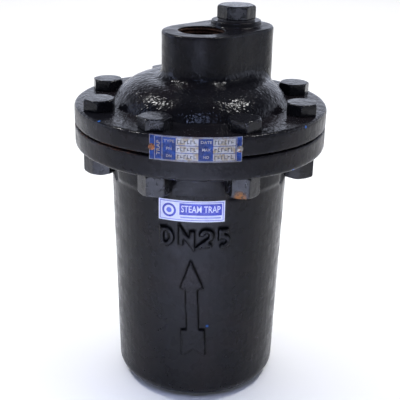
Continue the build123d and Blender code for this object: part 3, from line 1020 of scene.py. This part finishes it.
# ---- flange fasteners ----------------------------------------------------------------------
@dataclass
class FlangeFasteners:
    """The eight bolts and nuts, each modelled once and copied to the places of the CAD's own."""

    finish: bpy.types.Material
    flats: float = 19.0 * MM
    head_height: float = 7.5 * MM
    nut_height: float = 14.0 * MM
    radius: float = 6.0 * MM
    bore_radius: float = 6.05 * MM
    pitch: float = 1.75 * MM
    thread_depth: float = 0.95 * MM
    thread_turns: int = 7
    voxel: float = 0.34 * MM
    edge: float = 0.5 * MM
    bolt_triangles: int = 16_000
    nut_triangles: int = 11_000

    def hexagon(self, name: str, low: float, high: float, crown_top: bool, crown_bottom: bool) -> Piece:
        """Hexagonal bar with turned-down corners, its flats facing the front.

        Args:
            name: the new object's name.
            low: the bar's lower end.
            high: the bar's upper end.
            crown_top: whether the upper corners are turned down.
            crown_bottom: whether the lower corners are turned down.

        Returns:
            The closed bar.
        """
        corner = self.flats / math.sqrt(3)
        middle = (0, 0, (low + high) / 2)
        bar = new_primitive(
            "cylinder", name, vertices=6, radius=corner, depth=high - low, location=middle,
            rotation=(0, 0, math.pi / 6),
        )
        crown = new_primitive(
            "cylinder", "crown", vertices=96, radius=corner, depth=high - low, location=middle
        )
        ends = [z for z, wanted in ((high, crown_top), (low, crown_bottom)) if wanted]
        pick_edges(crown, lambda a, b: any(abs(a.z - z) + abs(b.z - z) < 0.1 * MM for z in ends))
        drop = corner - self.flats / 2
        bpy.ops.mesh.bevel(offset=drop * 1.15, offset_type="OFFSET", segments=2)
        leave_edit()
        cut(bar, crown, "INTERSECT")
        return bar

    def bolt(self) -> Piece:
        """Bolt with its head's underside at zero, its shank down and its end threaded.

        Returns:
            The bolt that the others are copied from.
        """
        low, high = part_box("flange_bolts")
        length = high.z - low.z - self.head_height
        head = self.hexagon("flange_bolt", 0, self.head_height, True, False)
        shank = ThreadedShank(
            self.radius, length, self.pitch, self.thread_depth, self.thread_turns, sides=64,
            chamfer=self.radius / 6,
        )
        cut(head, shank.build(), "UNION")
        return self.painted(head, self.bolt_triangles)

    def nut(self) -> Piece:
        """Nut with its top at zero, crowned at both ends, with a plain bore.

        Returns:
            The nut that the others are copied from.
        """
        nut = self.hexagon("flange_nut", -self.nut_height, 0, True, True)
        bore = new_primitive(
            "cylinder", "bore", vertices=64, radius=self.bore_radius, depth=3 * self.nut_height
        )
        cut(nut, bore)
        return self.painted(nut, self.nut_triangles)

    def painted(self, piece: Piece, triangles: int) -> Piece:
        """Soften a fastener's edges as thick paint does.

        Args:
            piece: the crisp fastener.
            triangles: how many triangles it may have.

        Returns:
            The softened fastener.
        """
        apply_modifier(piece, "REMESH", mode="VOXEL", voxel_size=self.voxel)
        apply_modifier(piece, "SMOOTH", factor=0.5, iterations=2)
        apply_modifier(piece, "DECIMATE", ratio=triangles / (2 * len(piece.data.polygons)))
        smooth(piece, 40)
        dress(piece, self.finish)
        return piece

    def places(self, node: str, at_top: bool) -> list[Matrix]:
        """Find where each of the CAD's own fasteners stands and how it is turned.

        Args:
            node: the CAD node that holds them all.
            at_top: whether the place is at the solid's top rather than under its head.

        Returns:
            One matrix for each fastener.
        """
        group = cad_copy(node, "group")
        turn_on(group)
        bpy.ops.object.mode_set(mode="EDIT")
        bpy.ops.mesh.select_all(action="SELECT")
        bpy.ops.mesh.separate(type="LOOSE")
        leave_edit()
        found = []
        for solid in list(bpy.context.selected_objects):
            points = [v.co for v in solid.data.vertices]
            box = [[f(p[i] for p in points) for f in (min, max)] for i in range(3)]
            middle = Vector([sum(box[i]) / 2 for i in range(3)])
            corner = max(points, key=lambda p: (p - middle).xy.length)
            turn = math.atan2(corner.y - middle.y, corner.x - middle.x)
            high = box[2][1] - (0 if at_top else self.head_height)
            found.append(Matrix.Translation((middle.x, middle.y, high)) @ Matrix.Rotation(turn, 4, "Z"))
            bpy.data.objects.remove(solid)
        return sorted(found, key=lambda m: math.atan2(m.translation.x, -m.translation.y))

    def build(self) -> None:
        """Model one bolt and one nut, and copy them round the flange."""
        for node, model, at_top in (("flange_bolts", self.bolt(), False), ("flange_nuts", self.nut(), True)):
            for number, place in enumerate(self.places(node, at_top), 1):
                piece = placed_copy(model, f"{node[:-1]}_{number}", place)
                stand_for(piece, node)
            bpy.data.objects.remove(model)
            log.info("%s: %d copies", node, number)


# ---- test plug -----------------------------------------------------------------------------
@dataclass
class TestPlug:
    """Hexagon plug in the round pad beside the outlet, threaded below its head."""

    finish: bpy.types.Material
    flats: float = 23.0 * MM
    head_height: float = 9.2 * MM
    shank_radius: float = 10.3 * MM
    pitch: float = 1.814 * MM
    thread_depth: float = 1.0 * MM
    thread_turns: int = 8
    voxel: float = 0.38 * MM
    triangles: int = 24_000

    def build(self) -> Piece:
        """Model the plug in the place of the CAD's own.

        Returns:
            The finished plug.
        """
        low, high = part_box("test_plug")
        x = (low.x + high.x) / 2
        y = (low.y + high.y) / 2
        length = high.z - low.z - self.head_height
        shop = FlangeFasteners(self.finish, flats=self.flats, voxel=self.voxel)
        head = shop.hexagon("test_plug_painted", 0, self.head_height, True, False)
        shank = ThreadedShank(
            self.shank_radius, length, self.pitch, self.thread_depth, self.thread_turns, sides=96
        )
        cut(head, shank.build(), "UNION")
        piece = shop.painted(head, self.triangles)
        piece.data.transform(Matrix.Translation((x, y, high.z - self.head_height)))
        stand_for(piece, "test_plug")
        log.info("%s: %d faces", piece.name, len(piece.data.polygons))
        return piece


# ---- flat sheets wrapped round the trap ----------------------------------------------------
class Ink(Enum):
    """The finishes on a wrapped sheet, in the order of its material slots."""

    GROUND = 0
    RAISED = 1
    MARKS = 2
    SECOND = 3


@dataclass
class WrappedSheet:
    """A thin sheet drawn flat, with x to the right and z up, and then bent round the trap."""

    name: str
    inks: list[bpy.types.Material]
    parts: list[Piece] = field(default_factory=list)
    font_size: float = 1.38
    font_weight: float = 0.012

    def bar(self, ink: Ink, left: float, right: float, low: float, high: float,
            back: float, front: float) -> None:
        """Add a flat bar.

        Args:
            ink: its finish.
            left: its left edge.
            right: its right edge.
            low: its lower edge.
            high: its upper edge.
            back: the depth of its back above the sheet's back.
            front: the depth of its front above the sheet's back.
        """
        piece = new_primitive(
            "cube", "bar", size=1,
            location=((left + right) / 2, -(back + front) / 2, (low + high) / 2),
            scale=(right - left, front - back, high - low),
        )
        pick_faces(piece, lambda centre, normal: normal.y < -0.5)
        bpy.ops.mesh.bevel(offset=(front - back) * 0.3, offset_type="OFFSET", segments=1)
        leave_edit()
        piece.data.materials.append(self.inks[ink.value])
        self.parts.append(piece)

    def frame(self, ink: Ink, left: float, right: float, low: float, high: float, line: float,
              back: float, front: float) -> None:
        """Add a rectangular frame line.

        Args:
            ink: its finish.
            left: its outer left edge.
            right: its outer right edge.
            low: its outer lower edge.
            high: its outer upper edge.
            line: the line's width.
            back: the depth of its back.
            front: the depth of its front.
        """
        self.bar(ink, left, right, low, low + line, back, front)
        self.bar(ink, left, right, high - line, high, back, front)
        self.bar(ink, left, left + line, low + line, high - line, back, front)
        self.bar(ink, right - line, right, low + line, high - line, back, front)

    def words(self, ink: Ink, text: str, x: float, z: float, size: float, back: float, front: float,
              room: float, upright: bool = False) -> None:
        """Add raised generic lettering, centred on a point.

        Args:
            ink: its finish.
            text: the letters.
            x: the middle.
            z: the middle.
            size: the letters' height.
            back: the depth of its back.
            front: the depth of its front.
            room: the length that the letters fill.
            upright: whether it reads upwards.
        """
        bpy.ops.object.select_all(action="DESELECT")
        bpy.ops.object.text_add()
        label = bpy.context.object
        label.data.body = text
        label.data.align_x = "CENTER"
        label.data.align_y = "CENTER"
        label.data.size = self.font_size * size
        label.data.extrude = (front - back) / 2
        label.data.offset = self.font_weight * size
        label.data.resolution_u = 3
        bpy.ops.object.convert(target="MESH")
        bpy.context.view_layer.update()
        label.data.transform(Matrix.Diagonal((room / label.dimensions.x, 1, 1, 1)))
        if upright:
            label.data.transform(Matrix.Rotation(math.pi / 2, 4, "Z"))
        label.data.transform(Matrix.Rotation(math.pi / 2, 4, "X"))
        label.data.transform(Matrix.Translation((x, -(back + front) / 2, z)))
        label.data.materials.append(self.inks[ink.value])
        self.parts.append(label)

    def disc(self, ink: Ink, x: float, z: float, radius: float, back: float, front: float) -> None:
        """Add a round flat disc.

        Args:
            ink: its finish.
            x: its centre.
            z: its centre.
            radius: its radius.
            back: the depth of its back.
            front: the depth of its front.
        """
        piece = new_primitive(
            "cylinder", "disc", vertices=48, radius=radius, depth=front - back,
            location=(x, -(back + front) / 2, z), rotation=(math.pi / 2, 0, 0),
        )
        piece.data.materials.append(self.inks[ink.value])
        self.parts.append(piece)

    def wrap(self, radius: float, width: float, step: float) -> Piece:
        """Join the parts, slice them finely and bend them round an upright axis.

        Args:
            radius: the radius of the sheet's back.
            width: the whole sheet's width.
            step: the slices' width.

        Returns:
            The bent sheet.
        """
        for part in self.parts:
            kept = part.data.materials[0]
            part.data.materials.clear()
            for ink in self.inks:
                part.data.materials.append(ink)
            number = self.inks.index(kept)
            for face in part.data.polygons:
                face.material_index = number
        piece = joined(self.name, self.parts)
        turn_on(piece)
        bpy.ops.object.mode_set(mode="EDIT")
        for i in range(1, int(width / step)):
            bpy.ops.mesh.select_all(action="SELECT")
            bpy.ops.mesh.bisect(plane_co=(i * step - width / 2, 0, 0), plane_no=(1, 0, 0))
        leave_edit()
        apply_modifier(
            piece, "SIMPLE_DEFORM", deform_method="BEND", deform_axis="Z", angle=width / radius
        )
        piece.data.transform(Matrix.Translation((0, -radius, 0)))
        return piece


@dataclass
class Nameplate:
    """Etched aluminium plate on the flange rims, blue ground with raised frames and generic fields."""

    inks: list[bpy.types.Material]
    sheet: float = 0.45 * MM
    rise: float = 0.15 * MM
    bite: float = 0.05 * MM
    edge_line: float = 0.28 * MM
    line: float = 0.32 * MM
    margin: float = 0.5 * MM
    screw_strip: float = 3.3 * MM
    narrow_column: float = 4.3 * MM
    caption_share: float = 0.37
    title_height: float = 2.2 * MM
    caption_height: float = 1.7 * MM
    rows: int = 3
    cell_gap: float = 0.2 * MM
    cell_margin: float = 0.8 * MM
    strokes: int = 6
    stroke: float = 0.5 * MM
    foot: float = 0.44 * MM
    slice_width: float = 1.2 * MM

    def build(self) -> Piece:
        """Draw the plate flat, wrap it and set it on the flange.

        Returns:
            The finished plate.
        """
        low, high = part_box("nameplate")
        radius = -low.y - self.sheet - self.rise
        angle = self.middle_angle()
        half = self.half_angle(angle) * radius
        tall = (high.z - low.z) / 2
        sheet = WrappedSheet("nameplate_etched", self.inks)
        back = self.sheet - self.bite
        front = self.sheet + self.rise
        sheet.bar(Ink.GROUND, -half, half, -tall, tall, 0, self.sheet)
        sheet.frame(Ink.RAISED, -half, half, -tall, tall, self.edge_line, back, front)
        inner = half - self.screw_strip
        level = tall - self.margin
        sheet.frame(Ink.RAISED, -inner, inner, -level, level, self.line, back, front)
        self.columns(sheet, -inner + self.line, inner - self.line, level - self.line, front)
        piece = sheet.wrap(radius, 2 * half, self.slice_width)
        middle = Matrix.Translation((0, 0, (low.z + high.z) / 2))
        piece.data.transform(middle @ Matrix.Rotation(angle, 4, "Z"))
        smooth(piece, 25)
        stand_for(piece, "nameplate")
        log.info("%s: %d faces", piece.name, len(piece.data.polygons))
        return piece

    def middle_angle(self) -> float:
        """The plate's middle, as an angle about the trap's axis from the front."""
        low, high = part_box("nameplate")
        return (math.asin(low.x / -low.y) + math.asin(high.x / -low.y)) / 2

    def half_angle(self, middle: float) -> float:
        """Half the plate's reach round the axis.

        Args:
            middle: the angle of its middle.

        Returns:
            The half angle in radians.
        """
        low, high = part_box("nameplate")
        return math.asin(high.x / -low.y) - middle

    def columns(self, sheet: WrappedSheet, left: float, right: float, top: float, front: float) -> None:
        """Draw the field columns: a narrow blank one, then two pairs of caption and cell.

        Args:
            sheet: the flat sheet.
            left: the inner frame's left edge.
            right: the inner frame's right edge.
            top: the inner frame's upper edge above the middle.
            front: the raised details' front.
        """
        back = self.sheet - self.bite
        narrow = left + self.narrow_column
        sheet.bar(Ink.RAISED, narrow, narrow + self.line, -top, top, back, front)
        title_x = (left + narrow) / 2
        sheet.words(Ink.RAISED, "TRAP", title_x, 0, self.title_height, back, front, 1.3 * top, True)
        start = narrow + self.line
        pair = (right - start) / 2
        row = 2 * top / self.rows
        captions = (("TYPE", "PN", "DN"), ("DATE", "MAX", "NO"))
        for column, names in enumerate(captions):
            caption_left = start + column * pair
            cell_left = caption_left + self.caption_share * pair
            cell_right = caption_left + pair - self.margin
            for number, name in enumerate(names):
                middle = top - (number + 0.5) * row
                caption_x = (caption_left + cell_left) / 2
                room = (cell_left - caption_left) * 0.2 * len(name)
                sheet.words(Ink.RAISED, name, caption_x, middle, self.caption_height, back, front, room)
                self.cell(sheet, cell_left, cell_right, middle, row, front)

    def cell(self, sheet: WrappedSheet, left: float, right: float, middle: float,
             row: float, front: float) -> None:
        """Draw one bare cell with a few punched strokes in it.

        Args:
            sheet: the flat sheet.
            left: the cell's left edge.
            right: the cell's right edge.
            middle: the cell's middle height.
            row: the height of a row.
            front: the raised details' front.
        """
        half = row / 2 - self.cell_gap
        sheet.bar(Ink.RAISED, left, right, middle - half, middle + half, self.sheet - self.bite, front)
        pitch = (right - left - 2 * self.cell_margin) / self.strokes
        back = front - 0.02 * MM
        for i in range(self.strokes):
            x = left + self.cell_margin + i * pitch
            tall = half * (0.62 if (i * 7 + int(middle / MM)) % 3 else 0.4)
            sheet.bar(Ink.MARKS, x, x + self.stroke, middle - tall, middle + tall, back, front + 0.02 * MM)
            foot = middle + (tall - 0.45 * MM) * (-1) ** i
            low = foot - self.foot / 2
            sheet.bar(Ink.MARKS, x, x + 0.75 * pitch, low, low + self.foot, back, front + 0.03 * MM)


@dataclass
class BodyLabel:
    """Printed vinyl label on the vessel's front, with a plain ring symbol and the words for the object."""

    inks: list[bpy.types.Material]
    film: float = 0.14 * MM
    print_rise: float = 0.03 * MM
    bite: float = 0.02 * MM
    border: float = 0.9 * MM
    line: float = 0.45 * MM
    gap: float = 0.6 * MM
    band_inset: float = 1.1 * MM
    band_foot: float = 3.6 * MM
    stripe_low: float = 1.5 * MM
    stripe_high: float = 2.5 * MM
    letter_height: float = 4.6 * MM
    letter_share: float = 0.92
    taper: float = 1.15
    slice_width: float = 1.0 * MM

    def build(self) -> Piece:
        """Draw the label flat, wrap it and lay it on the tapered wall.

        Returns:
            The finished label.
        """
        low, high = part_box("body_label")
        radius = -low.y + 0.02 * MM
        middle = (math.asin(low.x / radius) + math.asin(high.x / radius)) / 2
        half = (math.asin(high.x / radius) - middle) * radius
        tall = (high.z - low.z) / 2
        sheet = WrappedSheet("body_label_printed", self.inks)
        back = self.film - self.bite
        front = self.film + self.print_rise
        sheet.bar(Ink.GROUND, -half, half, -tall, tall, 0, self.film)
        x = half - self.border
        z = tall - self.border
        sheet.frame(Ink.RAISED, -x, x, -z, z, self.line, back, front)
        self.symbol(sheet, -x + self.line, z - self.line, back, front)
        self.band(sheet, -x + 2 * z + self.gap, x - self.band_inset, z, back, front)
        piece = sheet.wrap(radius, 2 * half, self.slice_width)
        lean = Matrix.Rotation(-math.radians(self.taper), 4, "X")
        foot = Matrix.Translation((0, -radius, 0))
        place = Matrix.Translation((0, 0, (low.z + high.z) / 2)) @ Matrix.Rotation(middle, 4, "Z")
        piece.data.transform(place @ foot @ lean @ foot.inverted())
        smooth(piece, 25)
        stand_for(piece, "body_label")
        log.info("%s: %d faces", piece.name, len(piece.data.polygons))
        return piece

    def band(self, sheet: WrappedSheet, left: float, right: float, top: float,
             back: float, front: float) -> None:
        """Draw the solid band with the words on it, and the thin stripe under it.

        Args:
            sheet: the flat sheet.
            left: the band's left edge.
            right: the band's right edge.
            top: the border's upper edge above the middle.
            back: the print's back.
            front: the print's front.
        """
        low = self.band_foot - top
        high = top - self.band_inset
        sheet.bar(Ink.MARKS, left, right, low, high, back, front)
        sheet.words(
            Ink.GROUND, "STEAM TRAP", (left + right) / 2, (low + high) / 2, self.letter_height,
            front - self.bite / 2, front + self.print_rise, self.letter_share * (right - left),
        )
        stripe_low = self.stripe_low - top
        stripe_high = self.stripe_high - top
        sheet.bar(Ink.SECOND, left + self.gap, right - self.gap, stripe_low, stripe_high, back, front)

    def symbol(self, sheet: WrappedSheet, left: float, top: float, back: float, front: float) -> None:
        """Draw a plain ring with a drop-sized dot in the left square.

        Args:
            sheet: the flat sheet.
            left: the square's left edge.
            top: the square's upper edge above the middle.
            back: the print's back.
            front: the print's front.
        """
        x = left + top
        steps = ((Ink.MARKS, 0.80), (Ink.GROUND, 0.56), (Ink.RAISED, 0.30))
        for number, (ink, share) in enumerate(steps):
            rise = number * self.print_rise / 2
            sheet.disc(ink, x, 0, top * share, back, front + rise)


# ---- nameplate screws ----------------------------------------------------------------------
@dataclass
class PlateScrews:
    """Two round-headed drive screws, one brown with rust and one still mostly bright."""

    finishes: dict[str, bpy.types.Material]
    head_radius: float = 2.1 * MM
    head_rise: float = 1.15 * MM
    shank_radius: float = 1.1 * MM
    shank_length: float = 5.5 * MM

    def model(self) -> Piece:
        """Domed head at zero with its shank behind it, facing the front.

        Returns:
            The screw that both are copied from.
        """
        head = new_primitive("uv_sphere", "drive_screw", segments=32, ring_count=16, radius=self.head_radius)
        turn_on(head)
        bpy.ops.object.mode_set(mode="EDIT")
        bpy.ops.mesh.select_all(action="SELECT")
        bpy.ops.mesh.bisect(plane_co=(0, 0, 0), plane_no=(0, 1, 0), clear_outer=True, use_fill=True)
        leave_edit()
        head.data.transform(Matrix.Diagonal((1, self.head_rise / self.head_radius, 1, 1)))
        shank = new_primitive(
            "cylinder", "shank", vertices=32, radius=self.shank_radius, depth=self.shank_length,
            location=(0, self.shank_length / 2 - 0.2 * MM, 0), rotation=(math.pi / 2, 0, 0),
        )
        cut(head, shank, "UNION")
        apply_modifier(head, "BEVEL", width=0.12 * MM, segments=2, limit_method="ANGLE")
        smooth(head, 40)
        return head

    def build(self) -> None:
        """Copy the screw to the two ends of the nameplate."""
        low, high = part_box("nameplate_screws")
        seat = -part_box("nameplate")[0].y
        z = (low.z + high.z) / 2
        model = self.model()
        for side, x in (("left", low.x + self.head_radius), ("right", high.x - self.head_radius)):
            angle = math.asin(x / seat)
            place = Matrix.Rotation(angle, 4, "Z") @ Matrix.Translation((0, -seat, z))
            piece = placed_copy(model, f"nameplate_screw_{side}", place)
            dress(piece, self.finishes[side])
            stand_for(piece, "nameplate_screws")
        bpy.data.objects.remove(model)
        log.info("nameplate screws: dressed at %.1f mm", z / MM)


# ---- pieces that keep their CAD shape ------------------------------------------------------
@dataclass
class InnerWorks:
    """The gaskets, the valve, the lever, the bucket and the tube, which keep their CAD shapes."""

    steel: bpy.types.Material
    graphite: bpy.types.Material
    graphite_nodes: tuple[str, ...] = ("cover_gasket", "test_plug_gasket", "seat_gasket")
    steel_nodes: tuple[str, ...] = (
        "inlet_tube", "valve_seat", "lever_bracket", "bracket_screws", "lever_pivot_pin", "lever",
        "valve_plug", "valve_retainer", "bucket_hook_pin", "bucket", "bucket_clip", "clip_rivets",
    )

    def build(self) -> None:
        """Give each carried-over CAD node its finish."""
        for nodes, finish in ((self.graphite_nodes, self.graphite), (self.steel_nodes, self.steel)):
            for name in nodes:
                for material_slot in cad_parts[name].material_slots:
                    material_slot.material = finish
                log.info("%s: dressed in %s", name, finish.name)


# ---- studio --------------------------------------------------------------------------------
@dataclass(frozen=True)
class SoftBox:
    """A rectangular light: its place, its size, its power in watts and what it points at."""

    name: str
    place: tuple[float, float, float]
    size: tuple[float, float]
    power: float
    tint: str = "#ffffff"
    aim: tuple[float, float, float] = (0, 0, 0.15)
    spread: float = 180.0
    in_gloss: bool = True

    def hang(self) -> None:
        """Hang the light in the studio."""
        light = bpy.data.lights.new(self.name, "AREA")
        light.shape = "RECTANGLE"
        light.size, light.size_y = self.size
        light.energy = self.power
        light.color = linear(self.tint)[:3]
        light.spread = math.radians(self.spread)
        holder = bpy.data.objects.new(self.name, light)
        holder.location = self.place
        holder.visible_glossy = self.in_gloss
        direction = Vector(self.aim) - Vector(self.place)
        holder.rotation_euler = direction.to_track_quat("-Z", "Y").to_euler()
        bpy.context.scene.collection.objects.link(holder)


@dataclass
class Studio:
    """Pale seamless floor, soft boxes and the camera."""

    lens: float = 76.5
    sensor: float = 36.0
    camera_place: tuple[float, float, float] = (0.001, -0.5614, 0.3528)
    camera_drop: float = 21.62
    camera_roll: float = 1.19
    floor_size: float = 9.0
    floor_colour: str = "#f6f6f6"
    floor_cloud: str = "#f3f3f4"
    room_tint: str = "#e2e8fa"
    room_strength: float = 1.5
    overhead: float = 0.15
    in_front: float = 0.4
    boxes: tuple[SoftBox, ...] = (
        SoftBox("floor_fill", (0.0, 1.3, 2.4), (3.6, 3.6), 80.0, "#fffdf8", in_gloss=False),
        SoftBox(
            "front_floor_lamp", (-0.06, -0.42, 0.6), (0.3, 0.2), 3.0, "#d3dcff",
            aim=(-0.06, -0.42, 0), spread=60, in_gloss=False,
        ),
        SoftBox(
            "far_floor_lamp", (-0.1, -1.3, 0.8), (0.4, 0.6), 9.0, "#d3dcff",
            aim=(-0.1, -1.3, 0), spread=70, in_gloss=False,
        ),
        SoftBox("left_box", (-1.1, 0.1, 0.5), (0.3, 0.9), 2.0, "#b3c3f5"),
        SoftBox("right_box", (1.1, 0.2, 0.5), (0.2, 0.9), 0.5, "#d3dcf7"),
        SoftBox("left_lamp", (-0.69, 0.18, 1.19), (0.11, 0.11), 6.5),
        SoftBox("right_lamp", (0.59, 0.06, 1.27), (0.11, 0.11), 6.5),
        SoftBox("front_window", (-0.03, -1.11, 1.27), (0.45, 0.15), 4.0, "#b9caff"),
    )

    def floor(self) -> None:
        """Lay the pale floor that the trap stands on."""
        floor = new_primitive("plane", "studio_floor", size=self.floor_size)
        s = Sheet("matt_white_paper")
        clouds = s.ramp(s.noise(0.6, 2.0), 0.3, 0.7)
        colour = s.mix(clouds, linear(self.floor_colour), linear(self.floor_cloud))
        floor.data.materials.append(s.finish(Base_Color=colour, Roughness=0.9))

    def surroundings(self) -> None:
        """Fill the room with pale light: brighter and bluer low behind, dimmer overhead and in front."""
        world = bpy.data.worlds.new("studio_room")
        world.use_nodes = True
        tree = world.node_tree
        way = add(tree, "TexCoord").outputs["Generated"]
        axes = add(tree, "SeparateXYZ", {0: way}).outputs
        rising = {
            "Value": axes[2], "From Min": 0.25, "From Max": 0.60,
            "To Min": self.room_strength, "To Max": self.overhead,
        }
        low = add(tree, "MapRange", rising, interpolation_type="SMOOTHSTEP").outputs["Result"]
        going_back = {
            "Value": axes[1], "From Min": -0.5, "From Max": 0.3,
            "To Min": self.in_front, "To Max": 1.0,
        }
        behind = add(tree, "MapRange", going_back, interpolation_type="SMOOTHSTEP").outputs["Result"]
        strength = add(tree, "Math", {0: low, 1: behind}, operation="MULTIPLY").outputs[0]
        background = tree.nodes["Background"]
        background.inputs["Color"].default_value = linear(self.room_tint)
        tree.links.new(strength, background.inputs["Strength"])
        bpy.context.scene.world = world

    def camera(self) -> None:
        """Set the camera in front of the trap, a little above it."""
        data = bpy.data.cameras.new("camera")
        data.lens = self.lens
        data.sensor_width = self.sensor
        camera = bpy.data.objects.new("camera", data)
        tilt = Matrix.Rotation(math.radians(90 - self.camera_drop), 4, "X")
        roll = Matrix.Rotation(math.radians(self.camera_roll), 4, "Z")
        camera.matrix_world = Matrix.Translation(self.camera_place) @ tilt @ roll
        bpy.context.scene.collection.objects.link(camera)
        bpy.context.scene.camera = camera

    def build(self) -> None:
        """Set up the floor, the lights, the room and the camera."""
        self.floor()
        for box in self.boxes:
            box.hang()
        self.surroundings()
        self.camera()
        bpy.context.scene.view_settings.view_transform = "Standard"
        log.info("studio: ready")


def taps() -> dict[str, list[ScrewThread]]:
    """The G 1 threads of the two pipe ports, one for each casting.

    Returns:
        The threads by CAD node.
    """
    pitch = 2.309 * MM
    crest = 16.62 * MM
    section = 1.2 * MM
    outlet_depth = 20 * MM
    plug_pad_rise = 3.7 * MM
    outlet_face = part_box("cap")[1].z - plug_pad_rise
    outlet = ScrewThread(pitch, crest, section, outlet_face - outlet_depth, turns=9)
    inlet = ScrewThread(pitch, crest, section, -1.5 * pitch, turns=8)
    return {"cap": [outlet], "body": [inlet]}


def main() -> None:
    """Build the trap piece by piece, then the studio."""
    logging.basicConfig(level=logging.INFO, format="%(name)s %(message)s")
    enamel = CastIronEnamel().material()
    bolt_enamel = BoltEnamel().material()
    threads = taps()
    for node, softening in (("body", 4), ("cap", 2)):
        Casting(node, enamel, softening=softening, ports=threads[node]).build()
    FlangeFasteners(bolt_enamel).build()
    TestPlug(bolt_enamel).build()
    Nameplate([PlateEnamel().material(), PlateAluminium().material(), StampedMark().material()]).build()
    vinyl = [
        PrintedVinyl("gloss_vinyl_white", "#dcdff2", "#cfd3ee").material(),
        PrintedVinyl("gloss_vinyl_frame_blue", "#4a58c0", "#5866c8").material(),
        PrintedVinyl("gloss_vinyl_royal_blue", "#2733a4", "#2f3cae").material(),
        PrintedVinyl("gloss_vinyl_grey_blue", "#7f89cc", "#959dd8").material(),
    ]
    BodyLabel(vinyl).build()
    screw_finishes = {
        "left": RustedSteel("rusted_steel_brown", bare_share=0.0).material(),
        "right": RustedSteel("rusted_steel_bright", bare_share=0.9).material(),
    }
    PlateScrews(screw_finishes).build()
    InnerWorks(Stainless().material(), GraphiteSheet().material()).build()
    Studio().build()


if __name__ == "__main__":
    main()
